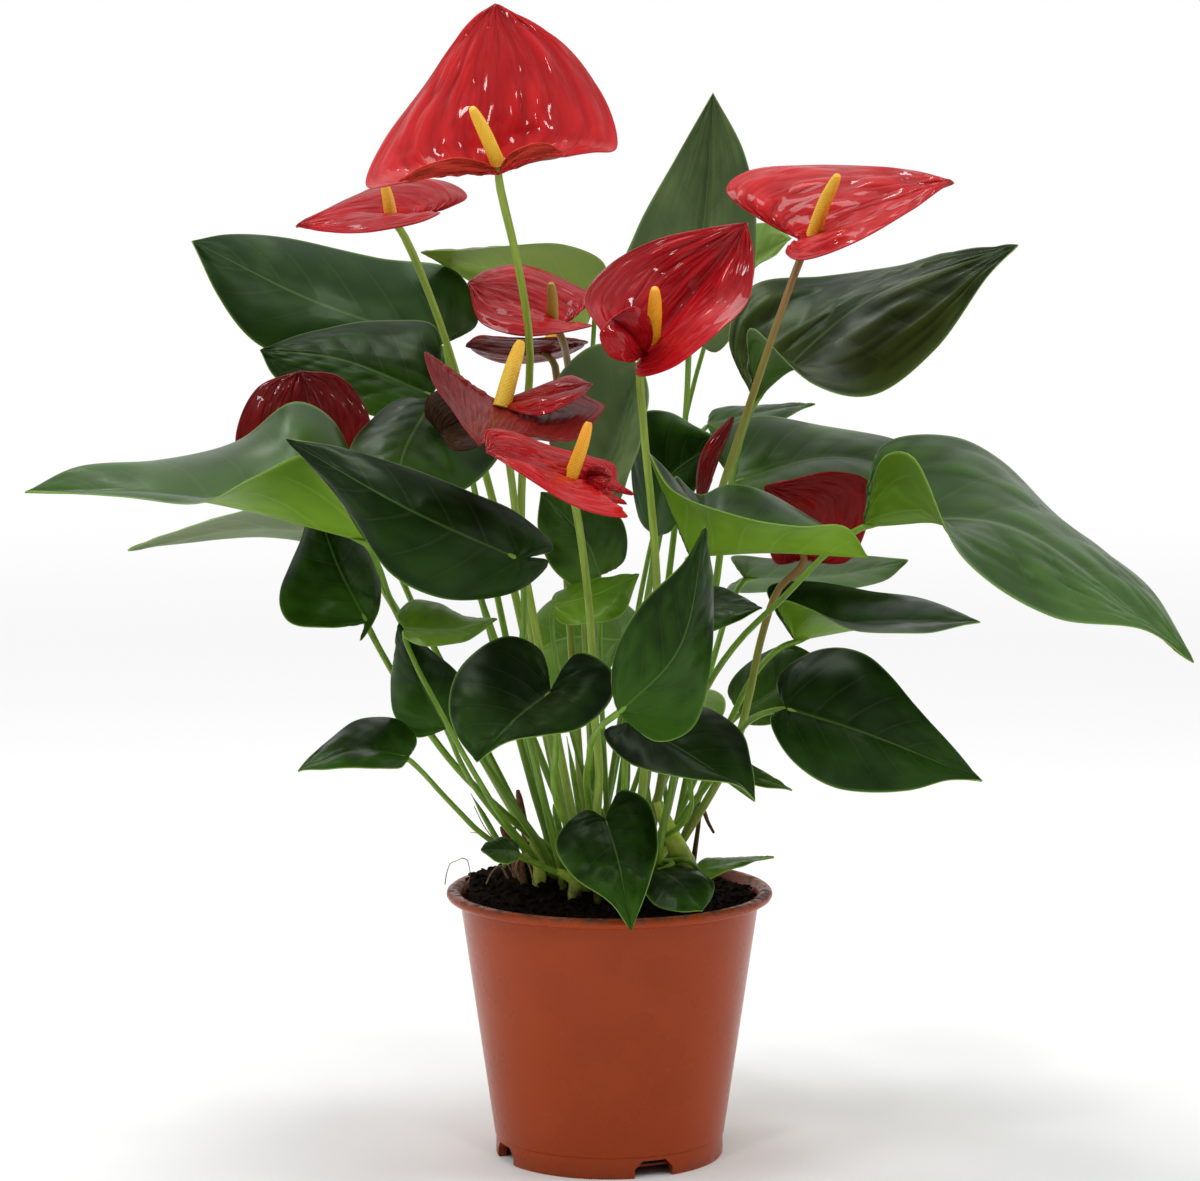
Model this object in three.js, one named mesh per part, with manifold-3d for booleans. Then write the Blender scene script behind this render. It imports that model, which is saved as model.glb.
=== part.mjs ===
// A flowering anthurium in its 12 cm nursery pot, about 42 cm high over all.
// Millimetres, +Z up, the origin on the ground under the middle of the pot.
// The plant is drawn as it is seen from the front: every point of a leaf, a flower or a stem is
// given as [across, down, depth], where across and down are its place in a front view of
// 1200 x 1181 pixels and depth is how far it lies behind the pot's middle, in millimetres.

import * as THREE from 'three';
import { mergeVertices } from 'three/addons/utils/BufferGeometryUtils.js';
import Module from 'manifold-3d';

const wasm = await Module();
wasm.setup();

// ---- driving dimensions, in millimetres ----

const VIEWER = { x: -3.5, distance: 1600, height: 416, aimHeight: 209.6 };
const VIEW_CENTRE = [600, 590.5];
const VIEW_FOCAL = 4418;

const POT_SIDES = 32;
const POT_HEIGHT = 99.2;
const RIM_RADIUS = 60;
const RIM_INNER_RADIUS = 56;
const NECK_RADIUS = 55;
const FOOT_RADIUS = 42;
const RIM_DEPTH = 4;
const FOOT_HEIGHT = 8;
const FOOT_STEP = 0.5;
const POT_WALL = 1.5;
const FLOOR_UNDERSIDE = 3;
const FOOT_RING_WIDTH = 2.8;
const NOTCH = { count: 4, first: -67.2, width: 15, height: 6.4, shoulder: 3, reach: 5.5, length: 10 };

const GAP = 0.3;
const SOIL = { edge: 93, reach: 54, crown: 4, rings: 5, crumbs: 2.4, shoulder: 2, seed: 7 };
const SOIL_SIDE_GAP = 0.55;
const SOIL_MOUND = { x: -31, y: 3, height: 11, spread: 18 };
const STEM_DEPTH = 22;
const HOLE_SIDES = 5;
const HOLE_TOP = 9;
const HOLE_GAP = 0.4;

const LEAF_THICKNESS = 0.8;
const SPATHE_THICKNESS = 0.9;
const BLADE_STATIONS = 8;
const SHOOT_STATIONS = 7;
const BLADE_STEPS = 2;
const BLADE_FAN = 0.3;
const BLADE_BOW = 0.07;

const STALK_SIDES = 5;
const PETIOLE_SIDES = 4;
const STEM_STEPS = 7;
const MOUTH_HEIGHT = 3.5;
const STALK_SEAT = { inward: 4, below: 4 };
const PETIOLE_SEAT = { inward: 6, below: 0.8, sunk: 0.4 };
const SHOOT_SCALE = 0.8;
const PETIOLE = { foot: 2.1, top: 1.2 };
const STALK = { foot: 2.2, top: 1.5 };
const SHEATH = { foot: 3.6, top: 2.9, shoulder: 7.8, height: 13, sides: 7, start: 7 };
const SPADIX = { sides: 6, rings: 9, relief: 0.13, bend: 1.5 };

const FOOT_PITCH = 8.6;
const FOOT_ROW_PITCH = FOOT_PITCH * Math.sqrt(3) / 2;
const FOOT_SPREAD = 40;
const FOOT_PULL = 0.34;
const STEM_CLEARANCE = 0.5;
const CLEARING_ROUNDS = 60;

const COLOURS = {
  pot: '#8f3f2a', soil: '#2a1a12', leaf: '#24451f', leafLight: '#55801f', stalk: '#6b8a2b',
  stalkBrown: '#7a6a34', spathe: '#a8121c', spatheOld: '#6a1a20', spadix: '#e2a21c',
};

// ---- small helpers ----

const V = (x, y, z) => new THREE.Vector3(x, y, z);
const lerp = (a, b, t) => a.clone().lerp(b, t);

function viewFrame() {
  const eye = V(VIEWER.x, -VIEWER.distance, VIEWER.height);
  const ahead = V(VIEWER.x, 0, VIEWER.aimHeight).sub(eye).normalize();
  const across = ahead.clone().cross(V(0, 0, 1)).normalize();
  return { eye, ahead, across, upward: across.clone().cross(ahead) };
}

const VIEW = viewFrame();

// The point in space that is seen at (across, down) and lies at the given depth.
function seen([across, down, depth]) {
  const ray = VIEW.ahead.clone()
    .addScaledVector(VIEW.across, (across - VIEW_CENTRE[0]) / VIEW_FOCAL)
    .addScaledVector(VIEW.upward, (VIEW_CENTRE[1] - down) / VIEW_FOCAL);
  return VIEW.eye.clone().addScaledVector(ray, (depth - VIEW.eye.y) / ray.y);
}

function curveThrough(points) {
  return new THREE.CatmullRomCurve3(points, false, 'centripetal');
}

function seededRandom(seed) {
  let state = seed;
  return () => {
    state = (state * 1664525 + 1013904223) % 4294967296;
    return state / 4294967296;
  };
}

function solidFrom(vertices, triangles) {
  const mesh = new wasm.Mesh({
    numProp: 3,
    vertProperties: new Float32Array(vertices.flatMap((v) => [v.x, v.y, v.z])),
    triVerts: new Uint32Array(triangles.flat()),
  });
  return new wasm.Manifold(mesh);
}

function solidFromGeometry(geometry) {
  geometry.deleteAttribute('normal');
  geometry.deleteAttribute('uv');
  const merged = mergeVertices(geometry, 1e-4);
  return new wasm.Manifold(new wasm.Mesh({
    numProp: 3,
    vertProperties: new Float32Array(merged.attributes.position.array),
    triVerts: new Uint32Array(merged.index.array),
  }));
}

function geometryFrom(solid) {
  const { vertProperties, triVerts } = solid.getMesh();
  const geometry = new THREE.BufferGeometry();
  geometry.setAttribute('position', new THREE.BufferAttribute(new Float32Array(vertProperties), 3));
  geometry.setIndex(new THREE.BufferAttribute(new Uint32Array(triVerts), 1));
  return geometry;
}

function largestBody(solid) {
  return solid.decompose().reduce((best, body) => (body.volume() > best.volume() ? body : best));
}

// ---- blades: leaves and spathes ----

// A blade is a thin sheet between its midrib and its two edges. Rays run from the midrib to
// each edge; near the base they fan out from the junction, which gives the heart shape.
function bladeSheet(form) {
  const stations = form.stations ?? BLADE_STATIONS;
  const steps = form.steps ?? BLADE_STEPS;
  const fan = form.fan ?? BLADE_FAN;
  const bow = form.bow ?? BLADE_BOW;
  const ends = [seen(form.base), seen(form.tip)];
  const midrib = curveThrough([ends[0], seen(form.middle), ends[1]]);
  const points = [];
  const put = (point) => points.push(point) - 1;
  const base = put(ends[0]);
  const spine = [];
  for (let k = 0; k <= stations; k += 1) {
    const along = Math.max(0, (k / stations - fan) / (1 - fan));
    spine.push(along === 0 ? base : put(midrib.getPointAt(along)));
  }
  const triangles = [];
  const rim = [];
  for (const side of [1, -1]) {
    const edge = curveThrough([ends[0], ...(side > 0 ? form.left : form.right).map(seen), ends[1]]);
    const rows = [];
    for (let k = 0; k <= stations; k += 1) {
      const row = [spine[k]];
      const from = points[spine[k]];
      const to = edge.getPointAt(k / stations);
      const inward = from.clone().sub(to);
      const upward = edge.getTangentAt(k / stations).cross(inward).multiplyScalar(-side);
      for (let u = 1; u <= steps; u += 1) {
        const t = u / steps;
        const lift = upward.clone().multiplyScalar(bow * 4 * t * (1 - t));
        const atEnd = k === 0 || k === stations;
        row.push(atEnd ? spine[k] : put(lerp(from, to, t).add(lift)));
      }
      rows.push(row);
    }
    for (let k = 0; k < stations; k += 1) {
      for (let u = 0; u < steps; u += 1) {
        const [a, b, c, d] = [rows[k][u], rows[k + 1][u], rows[k + 1][u + 1], rows[k][u + 1]];
        for (const triangle of [[a, b, c], [a, c, d]]) {
          if (new Set(triangle).size === 3) {
            triangles.push(side > 0 ? triangle : triangle.reverse());
          }
        }
      }
    }
    rim.push(rows.map((row) => row[steps]));
  }
  const loop = [...rim[1], ...rim[0].slice(1, -1).reverse()];
  return { points, triangles, loop, midrib };
}

function sheetNormals({ points, triangles }) {
  const normals = points.map(() => V(0, 0, 0));
  for (const [a, b, c] of triangles) {
    const ab = points[b].clone().sub(points[a]);
    const facing = ab.cross(points[c].clone().sub(points[a]));
    for (const corner of [a, b, c]) normals[corner].add(facing);
  }
  return normals.map((normal) => normal.normalize());
}

// Both faces of the sheet have the same triangles, half the thickness to either side.
function thicken(sheet, thickness) {
  const count = sheet.points.length;
  const normals = sheetNormals(sheet);
  const moved = (distance) => sheet.points.map((p, i) => p.clone().addScaledVector(normals[i], distance));
  const triangles = [
    ...sheet.triangles,
    ...sheet.triangles.map(([a, b, c]) => [c + count, b + count, a + count]),
  ];
  sheet.loop.forEach((here, i) => {
    const next = sheet.loop[(i + 1) % sheet.loop.length];
    triangles.push([next, here, here + count], [next, here + count, next + count]);
  });
  return solidFrom([...moved(thickness / 2), ...moved(-thickness / 2)], triangles);
}

// A place on the midrib, a little way in from the junction, with the blade's upward direction there.
function seat(sheet, inward) {
  const along = inward / sheet.midrib.getLength();
  return { point: sheet.midrib.getPointAt(along), up: sheetNormals(sheet)[0] };
}

// ---- tubes: stems and spadices ----

function ringsAlong(centres, radiusAt, sides, relief = () => 1) {
  let across = V(1, 0.2, 0);
  const vertices = [];
  centres.forEach((centre, i) => {
    const next = centres[Math.min(i + 1, centres.length - 1)];
    const ahead = next.clone().sub(centres[Math.max(i - 1, 0)]).normalize();
    across = across.addScaledVector(ahead, -across.dot(ahead)).normalize();
    const upward = ahead.clone().cross(across);
    for (let s = 0; s < sides; s += 1) {
      const angle = (s / sides) * 2 * Math.PI;
      const radius = radiusAt(i) * relief(i, s);
      vertices.push(centre.clone()
        .addScaledVector(across, radius * Math.cos(angle))
        .addScaledVector(upward, radius * Math.sin(angle)));
    }
  });
  return vertices;
}

function tube(centres, radiusAt, sides, relief) {
  const vertices = ringsAlong(centres, radiusAt, sides, relief);
  const triangles = [];
  const last = (centres.length - 1) * sides;
  for (let i = 0; i < centres.length - 1; i += 1) {
    for (let s = 0; s < sides; s += 1) {
      const [a, b] = [i * sides + s, i * sides + ((s + 1) % sides)];
      triangles.push([a, b, b + sides], [a, b + sides, a + sides]);
    }
  }
  for (let s = 1; s < sides - 1; s += 1) {
    triangles.push([0, s + 1, s], [last, last + s, last + s + 1]);
  }
  return solidFrom(vertices, triangles);
}

// ---- the soil's surface ----

function soilHeight(x, y) {
  const hump = ((x - SOIL_MOUND.x) ** 2 + (y - SOIL_MOUND.y) ** 2) / (2 * SOIL_MOUND.spread ** 2);
  const edge = Math.min(1, Math.hypot(x, y) / SOIL.reach);
  return SOIL.edge + SOIL.crown * (1 - edge ** 4) + SOIL_MOUND.height * Math.exp(-hump);
}

// ---- the flowers: spathe, spadix and stalk ----
// left and right are the edges of the blade as seen from its junction towards its tip, from above.

const FLOWERS = [
  {
    name: 'top', base: [498, 174, -60], middle: [497, 90, -50], tip: [495, 3, -30],
    left: [
      [452, 172, -72], [402, 184, -68], [366, 184, -45], [386, 138, -32], [425, 85, -25], [460, 35, -24],
    ],
    right: [[540, 158, -72], [590, 152, -62], [617, 146, -42], [602, 95, -28], [560, 42, -23]],
    spadix: { tip: [472, 108, -78], radius: 2.5 }, via: [[519, 270, -48], [531, 385, -22], [519, 520, -18]],
  },
  {
    name: 'far_left', base: [402, 222, 8], middle: [345, 215, 0], tip: [296, 226, -8],
    left: [[440, 214, -8], [420, 223, -22], [370, 231, -28], [325, 231, -18]],
    right: [[466, 198, 22], [440, 180, 44], [395, 181, 48], [345, 200, 28]],
    spadix: { tip: [384, 183, 4], radius: 2.3 }, via: [[424, 280, 10], [450, 355, 14], [490, 490, 14]],
  },
  {
    name: 'top_right', base: [803, 240, 20], middle: [870, 212, 15], tip: [953, 181, 8],
    left: [[765, 222, 26], [727, 193, 36], [745, 174, 50], [810, 166, 62], [897, 168, 42]],
    right: [[786, 250, 10], [800, 259, -6], [853, 243, -16], [912, 211, -6]],
    spadix: { tip: [838, 175, 2], radius: 2.6 }, via: [[773, 335, 2], [751, 400, 2], [702, 560, 12]],
    stalkColour: 'stalkBrown',
  },
  {
    name: 'centre_cup', base: [645, 352, -70], middle: [700, 285, -58], tip: [747, 223, -64],
    left: [
      [622, 361, -84], [601, 330, -90], [585, 298, -74], [612, 263, -58], [657, 240, -54], [712, 228, -58],
    ],
    right: [[637, 375, -80], [672, 368, -88], [718, 333, -88], [748, 300, -78], [753, 255, -68]],
    spadix: { tip: [655, 288, -84], radius: 2.7 }, via: [[648, 470, -62], [657, 580, -56], [650, 700, -40]],
  },
  {
    name: 'back', base: [562, 325, 44], middle: [515, 302, 44], tip: [468, 283, 38],
    left: [[592, 326, 40], [560, 332, 24], [515, 334, 18], [480, 322, 24]],
    right: [[592, 298, 56], [568, 282, 68], [525, 266, 72], [488, 270, 58]],
    spadix: { tip: [551, 283, 36], radius: 2.2 }, via: [[566, 350, 60], [574, 440, 78]],
    stalkColour: 'stalkBrown',
  },
  {
    name: 'underside', base: [552, 352, 82], middle: [508, 354, 80], tip: [466, 345, 74],
    left: [[588, 342, 70], [560, 340, 62], [512, 338, 62], [482, 337, 66]],
    right: [[584, 344, 96], [555, 360, 108], [508, 364, 106], [478, 354, 92]],
    spadix: { tip: [566, 322, 96], radius: 2.0 }, via: [[556, 380, 86], [560, 470, 80]],
    stalkColour: 'stalkBrown',
  },
  {
    name: 'old_dark', base: [503, 405, -40], middle: [492, 427, -66], tip: [479, 445, -88], bow: -0.05,
    left: [
      [540, 394, -28], [581, 381, -26], [587, 396, -36], [604, 406, -46], [596, 420, -56], [572, 441, -66],
      [545, 436, -78], [520, 434, -84],
    ],
    right: [[462, 388, -30], [426, 352, -20], [432, 378, -36], [452, 408, -58], [466, 430, -78]],
    spadix: { tip: [521, 341, -36], radius: 3.1 }, via: [[508, 450, -38], [516, 520, -28]], stations: 12,
    spatheColour: 'spatheOld',
  },
  {
    name: 'front', base: [578, 481, -98], middle: [532, 466, -114], tip: [487, 451, -124],
    left: [
      [627, 504, -100], [612, 503, -104], [627, 517, -112], [588, 511, -124], [556, 496, -131],
      [518, 472, -132],
    ],
    right: [
      [634, 495, -96], [617, 482, -90], [614, 466, -86], [590, 457, -84], [556, 449, -90],
      [520, 434, -102], [486, 431, -116],
    ],
    spadix: { tip: [589, 422, -100], radius: 2.4 }, via: [[584, 560, -84], [592, 650, -62]], stations: 11,
  },
  {
    name: 'hidden_left', base: [322, 474, 8], middle: [312, 425, 12], tip: [300, 371, 16],
    left: [[284, 488, 2], [244, 468, 6], [236, 437, 9], [258, 388, 14]],
    right: [[350, 482, 6], [370, 450, 8], [367, 412, 11], [340, 377, 15]],
    spadix: { tip: [337, 441, -4], radius: 2.2 }, via: [[352, 535, 4], [420, 650, 4]],
    spatheColour: 'spatheOld',
  },
  {
    name: 'turned_away', base: [802, 558, 8], middle: [800, 520, 0], tip: [765, 486, -6],
    left: [[846, 562, 10], [868, 520, 4], [868, 482, 0], [836, 472, -2]],
    right: [[778, 564, 10], [768, 545, 6], [764, 520, 2]],
    spadix: { tip: [806, 512, 26], radius: 2.2 }, via: [[781, 585, 8], [758, 650, 4], [738, 740, 0]],
    stalkColour: 'stalkBrown',
  },
];

// A flower still rolled up: a slim spindle on its stalk.
const BUD = {
  base: [700, 500, 24], middle: [710, 458, 26], tip: [733, 418, 28],
  radius: 3.4, point: 0.25, rings: 9, sides: 8, gap: 0.7, via: [[696, 560, 24]],
};

// ---- the leaves: blade and petiole in one ----

const LEAVES = [
  {
    name: 'upper_left', base: [440, 345, 96], middle: [310, 300, 82], tip: [192, 241, 58],
    left: [[452, 374, 92], [400, 388, 86], [330, 368, 80], [258, 344, 66], [218, 296, 58]],
    right: [[478, 322, 108], [456, 272, 114], [376, 258, 112], [281, 237, 96], [228, 235, 74]],
    via: [[468, 460, 70]],
  },
  {
    name: 'under_upper_left', base: [432, 396, 38], middle: [340, 360, 43], tip: [260, 350, 40],
    left: [[424, 420, 32], [385, 418, 28], [330, 404, 30], [276, 378, 35]],
    right: [[440, 368, 50], [432, 324, 66], [375, 321, 66], [306, 333, 54]],
    via: [[450, 480, 26]],
  },
  {
    name: 'far_left', base: [366, 541, -54], middle: [190, 499, -60], tip: [25, 492, -46],
    left: [[335, 492, -80], [311, 454, -92], [252, 478, -96], [200, 502, -86], [120, 496, -72]],
    right: [[362, 492, -20], [333, 420, -4], [295, 402, 2], [238, 439, -8], [157, 462, -26], [76, 468, -38]],
    via: [[395, 610, -22], [452, 710, -16]],
  },
  {
    name: 'pale_left', base: [378, 540, 48], middle: [250, 528, 44], tip: [128, 550, 36],
    left: [[340, 508, 20], [285, 500, 6], [214, 520, 14], [176, 532, 24]],
    right: [[345, 556, 70], [300, 540, 84], [224, 539, 72], [168, 545, 54]],
    via: [[430, 640, 26]],
  },
  {
    name: 'front_left', base: [516, 558, -92], middle: [402, 506, -116], tip: [286, 439, -92],
    left: [
      [549, 562, -80], [528, 585, -84], [490, 598, -94], [440, 598, -108], [390, 573, -116],
      [348, 512, -108],
    ],
    right: [[554, 548, -76], [520, 513, -84], [472, 492, -96], [400, 465, -102], [340, 448, -98]],
    via: [[524, 600, -66], [522, 690, -42]],
  },
  {
    name: 'hanging_left', base: [367, 622, -34], middle: [336, 562, -34], tip: [314, 496, -22],
    left: [[330, 628, -46], [289, 622, -42], [281, 590, -30], [303, 532, -20]],
    right: [[360, 641, -44], [378, 612, -30], [379, 572, -16], [350, 522, -12]],
    via: [[392, 671, -22], [450, 760, -20]],
  },
  {
    name: 'middle_left', base: [430, 404, 4], middle: [404, 452, -24], tip: [394, 500, -52],
    left: [[468, 386, 10], [508, 425, -2], [497, 459, -18], [455, 494, -40]],
    right: [[404, 398, 14], [364, 426, 0], [350, 455, -18], [366, 488, -40]],
    via: [[452, 500, 4], [488, 620, 2]],
  },
  {
    name: 'centre_heart', base: [550, 693, -80], middle: [513, 722, -98], tip: [477, 762, -106],
    left: [[577, 653, -76], [610, 668, -80], [613, 694, -86], [580, 728, -98], [508, 741, -108]],
    right: [[541, 650, -72], [508, 636, -70], [464, 662, -80], [449, 704, -92], [458, 737, -102]],
    via: [[556, 740, -66], [556, 800, -48]],
  },
  {
    name: 'upright_front', base: [619, 713, -104], middle: [678, 650, -112], tip: [705, 527, -128],
    left: [[612, 690, -104], [614, 658, -106], [640, 606, -114], [684, 562, -122]],
    right: [[656, 741, -104], [692, 728, -98], [708, 680, -94], [714, 600, -106]],
    via: [[596, 732, -88], [590, 790, -36]],
  },
  {
    name: 'under_upright', base: [632, 722, -58], middle: [692, 757, -70], tip: [755, 801, -82],
    left: [[652, 702, -44], [702, 706, -42], [740, 730, -52], [752, 766, -68]],
    right: [[604, 732, -64], [632, 764, -80], [690, 779, -88], [734, 784, -88]],
    via: [[624, 790, -44]],
  },
  {
    name: 'front_bottom', base: [606, 820, -50], middle: [619, 864, -66], tip: [631, 931, -74],
    left: [[620, 791, -46], [646, 800, -50], [658, 840, -60], [650, 880, -70]],
    right: [[586, 810, -46], [556, 842, -56], [572, 875, -66], [612, 904, -73]],
    via: [[603, 838, -34]], petioleScale: 0.8,
  },
  {
    name: 'lower_right', base: [787, 709, -54], middle: [866, 734, -66], tip: [982, 781, -76],
    left: [[778, 678, -40], [818, 650, -36], [866, 655, -42], [916, 706, -56], [950, 745, -66]],
    right: [[771, 717, -58], [792, 760, -72], [838, 788, -82], [910, 790, -84], [950, 780, -80]],
    via: [[750, 720, -32], [716, 772, -6]],
  },
  {
    name: 'far_right', base: [864, 525, -30], middle: [1008, 527, -36], tip: [1194, 662, -30],
    left: [[884, 444, 4], [955, 437, 22], [1003, 463, 24], [1060, 520, 16], [1146, 584, -6]],
    right: [[885, 456, -54], [912, 456, -66], [961, 555, -72], [1051, 616, -62], [1150, 632, -40]],
    via: [[834, 547, -22], [780, 601, -14], [711, 678, -6]],
  },
  {
    name: 'upper_right', base: [755, 400, 52], middle: [866, 302, 60], tip: [1018, 245, 44],
    left: [[729, 340, 64], [752, 287, 80], [824, 275, 88], [903, 266, 80], [970, 249, 60]],
    right: [[752, 328, 20], [815, 383, 12], [872, 395, 22], [935, 350, 32], [988, 276, 40]],
    via: [[738, 450, 40], [728, 500, 31], [706, 640, 22]],
  },
  {
    name: 'top_back', base: [690, 335, 104], middle: [706, 205, 104], tip: [713, 93, 86],
    left: [[664, 352, 94], [616, 300, 94], [636, 232, 98], [676, 158, 96]],
    right: [[716, 352, 98], [748, 300, 100], [756, 220, 98], [744, 153, 94]],
    via: [[684, 440, 84]],
  },
  {
    name: 'folded_right', base: [690, 556, -64], middle: [772, 552, -76], tip: [868, 557, -64],
    left: [[676, 476, -44], [700, 495, -36], [727, 486, -36], [764, 492, -34], [822, 524, -44]],
    right: [[650, 452, -98], [672, 490, -108], [742, 517, -106], [800, 526, -94], [847, 528, -76]],
    via: [[690, 650, -44]],
  },
  {
    name: 'background_right', base: [735, 482, 66], middle: [830, 458, 72], tip: [930, 476, 68],
    left: [[714, 444, 86], [754, 416, 98], [828, 428, 102], [898, 442, 90]],
    right: [[735, 506, 48], [790, 512, 38], [860, 500, 42], [905, 490, 54]],
    via: [[712, 600, 56]],
  },
  {
    name: 'pointed_right', base: [795, 640, 38], middle: [880, 626, 46], tip: [980, 622, 42],
    left: [[768, 588, 70], [804, 580, 84], [870, 590, 84], [938, 603, 62]],
    right: [[779, 601, 14], [812, 611, 6], [856, 630, 8], [925, 633, 24]],
    via: [[764, 661, 22], [726, 730, 10]],
  },
  {
    name: 'grey_right', base: [745, 578, 92], middle: [830, 575, 100], tip: [908, 560, 92],
    left: [[728, 590, 112], [775, 592, 128], [850, 588, 124], [884, 581, 110]],
    right: [[732, 556, 76], [770, 560, 62], [815, 560, 62], [862, 557, 76]],
    via: [[716, 650, 66]],
  },
  {
    name: 'dark_centre', base: [596, 505, 28], middle: [622, 430, 36], tip: [642, 366, 40],
    left: [[566, 490, 30], [548, 430, 40], [556, 380, 46], [600, 344, 46]],
    right: [[615, 505, 16], [632, 470, 12], [645, 420, 18], [648, 388, 28]],
    via: [[588, 590, 20]],
  },
];

// Small leaves that spring from one shoot share a foot and are one piece.
const SHOOTS = [
  {
    name: 'shoot_low_right',
    colour: 'leafLight',
    leaves: [
      {
        base: [656, 868, -22], middle: [680, 884, -34], tip: [702, 911, -46],
        left: [[680, 866, -16], [712, 880, -26], [712, 896, -36]],
        right: [[640, 882, -38], [654, 904, -46], [682, 912, -50]], via: [[672, 862, -18]],
      },
      {
        base: [700, 871, -16], middle: [728, 865, -15], tip: [774, 857, -12],
        left: [[700, 860, -4], [722, 858, 0], [750, 858, -4]],
        right: [[704, 881, -26], [724, 873, -27], [752, 862, -20]], via: [[694, 862, -18]],
      },
      {
        base: [692, 768, -30], middle: [740, 774, -34], tip: [792, 790, -36],
        left: [[690, 754, -20], [718, 752, -18], [760, 770, -25]],
        right: [[688, 776, -40], [716, 780, -43], [756, 785, -43]], via: [[690, 812, -30]],
      },
    ],
  },
  {
    name: 'shoot_behind',
    colour: 'leafLight',
    leaves: [
      {
        base: [740, 712, 34], middle: [776, 690, 34], tip: [814, 655, 36],
        left: [[728, 690, 44], [748, 663, 50], [786, 645, 50]],
        right: [[748, 724, 26], [776, 722, 22], [800, 690, 26]], via: [[714, 745, 34]],
      },
      {
        base: [620, 640, 92], middle: [560, 640, 114], tip: [500, 680, 130],
        left: [[610, 668, 84], [580, 690, 92], [540, 700, 108]],
        right: [[640, 620, 102], [610, 596, 118], [550, 600, 128]], via: [[640, 720, 56]],
      },
      {
        base: [672, 700, 84], middle: [690, 700, 106], tip: [700, 730, 128],
        left: [[650, 706, 86], [652, 722, 102], [672, 734, 118]],
        right: [[696, 690, 86], [722, 696, 102], [722, 716, 118]], via: [[664, 770, 46]],
      },
    ],
  },
  {
    name: 'shoot_left',
    colour: 'leaf',
    leaves: [
      {
        base: [446, 728, -38], middle: [420, 680, -44], tip: [399, 623, -36],
        left: [[416, 737, -38], [394, 714, -34], [391, 680, -32], [396, 648, -32]],
        right: [[460, 738, -34], [472, 705, -30], [456, 672, -30], [426, 646, -32]],
        via: [[470, 780, -32]],
      },
      {
        base: [405, 629, -54], middle: [450, 630, -52], tip: [497, 619, -40],
        left: [[397, 615, -48], [414, 600, -36], [440, 604, -32], [468, 618, -32]],
        right: [[405, 637, -62], [425, 646, -66], [455, 644, -62], [480, 633, -50]],
        via: [[436, 703, -58], [500, 815, -38]],
      },
    ],
  },
  {
    name: 'shoot_back',
    colour: 'leafLight',
    leaves: [
      {
        base: [592, 300, 118], middle: [506, 272, 120], tip: [421, 252, 104],
        left: [[604, 264, 98], [560, 244, 88], [510, 246, 86], [458, 251, 94]],
        right: [[584, 326, 130], [530, 312, 132], [468, 280, 122]], via: [[590, 400, 98]],
      },
      {
        base: [708, 424, 116], middle: [765, 412, 118], tip: [815, 404, 114],
        left: [[715, 408, 127], [750, 406, 130], [785, 404, 125]],
        right: [[716, 440, 108], [755, 430, 106], [790, 416, 107]], via: [[664, 500, 92]],
      },
      {
        base: [722, 292, 118], middle: [757, 262, 116], tip: [791, 238, 110],
        left: [[728, 262, 126], [748, 228, 124], [772, 224, 118]],
        right: [[740, 290, 112], [756, 268, 109], [775, 254, 109]], via: [[690, 400, 114]],
      },
    ],
  },
  {
    name: 'shoot_centre',
    colour: 'leaf',
    leaves: [
      {
        base: [655, 535, 50], middle: [668, 480, 48], tip: [722, 440, 42],
        left: [[640, 520, 58], [632, 460, 64], [642, 414, 62], [668, 412, 58], [696, 427, 50]],
        right: [[672, 530, 40], [690, 500, 35], [708, 465, 37]], via: [[640, 640, 30]],
      },
      {
        base: [553, 606, -20], middle: [598, 594, -27], tip: [639, 574, -30],
        left: [[556, 592, -12], [587, 581, -14], [615, 576, -21]],
        right: [[560, 622, -28], [590, 624, -34], [622, 614, -37]], via: [[560, 680, -16]],
      },
      {
        base: [684, 612, -20], middle: [725, 608, -28], tip: [762, 608, -33],
        left: [[690, 590, -10], [712, 586, -9], [738, 595, -18]],
        right: [[690, 630, -32], [712, 632, -36], [738, 620, -37]], via: [[668, 680, -18]],
      },
      {
        base: [600, 575, 8], middle: [585, 540, 0], tip: [541, 492, -10],
        left: [[585, 590, 0], [554, 570, -6], [538, 530, -10]],
        right: [[625, 560, 10], [622, 520, 8], [580, 495, 0]], via: [[600, 660, 4]],
      },
    ],
  },
  {
    name: 'tiny_lower_left',
    colour: 'leaf',
    leaves: [
      {
        base: [408, 757, -62], middle: [355, 751, -74], tip: [298, 771, -80],
        left: [[400, 768, -76], [375, 768, -88], [345, 768, -90], [320, 770, -86]],
        right: [[416, 738, -46], [396, 719, -40], [358, 721, -46], [322, 746, -64]],
        via: [[450, 802, -48], [488, 838, -30]],
      },
      {
        base: [518, 852, -38], middle: [501, 850, -42], tip: [481, 850, -46],
        left: [[516, 860, -46], [505, 864, -50], [490, 858, -50]],
        right: [[516, 842, -32], [502, 838, -34], [488, 842, -40]], via: [[524, 858, -30]],
      },
    ],
  },
];

// ---- where the stems stand, and how they keep clear of each other ----

// Feet stand on a grid of equal triangles.
function footSpots() {
  const spots = [];
  const rows = Math.ceil(FOOT_SPREAD / FOOT_ROW_PITCH);
  for (let row = -rows; row <= rows; row += 1) {
    for (let column = -rows - 1; column <= rows + 1; column += 1) {
      const spot = [(column + (row % 2 ? 0.5 : 0)) * FOOT_PITCH, row * FOOT_ROW_PITCH];
      if (Math.hypot(...spot) < FOOT_SPREAD) spots.push(spot);
    }
  }
  return spots;
}

const freeSpots = footSpots();

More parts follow.
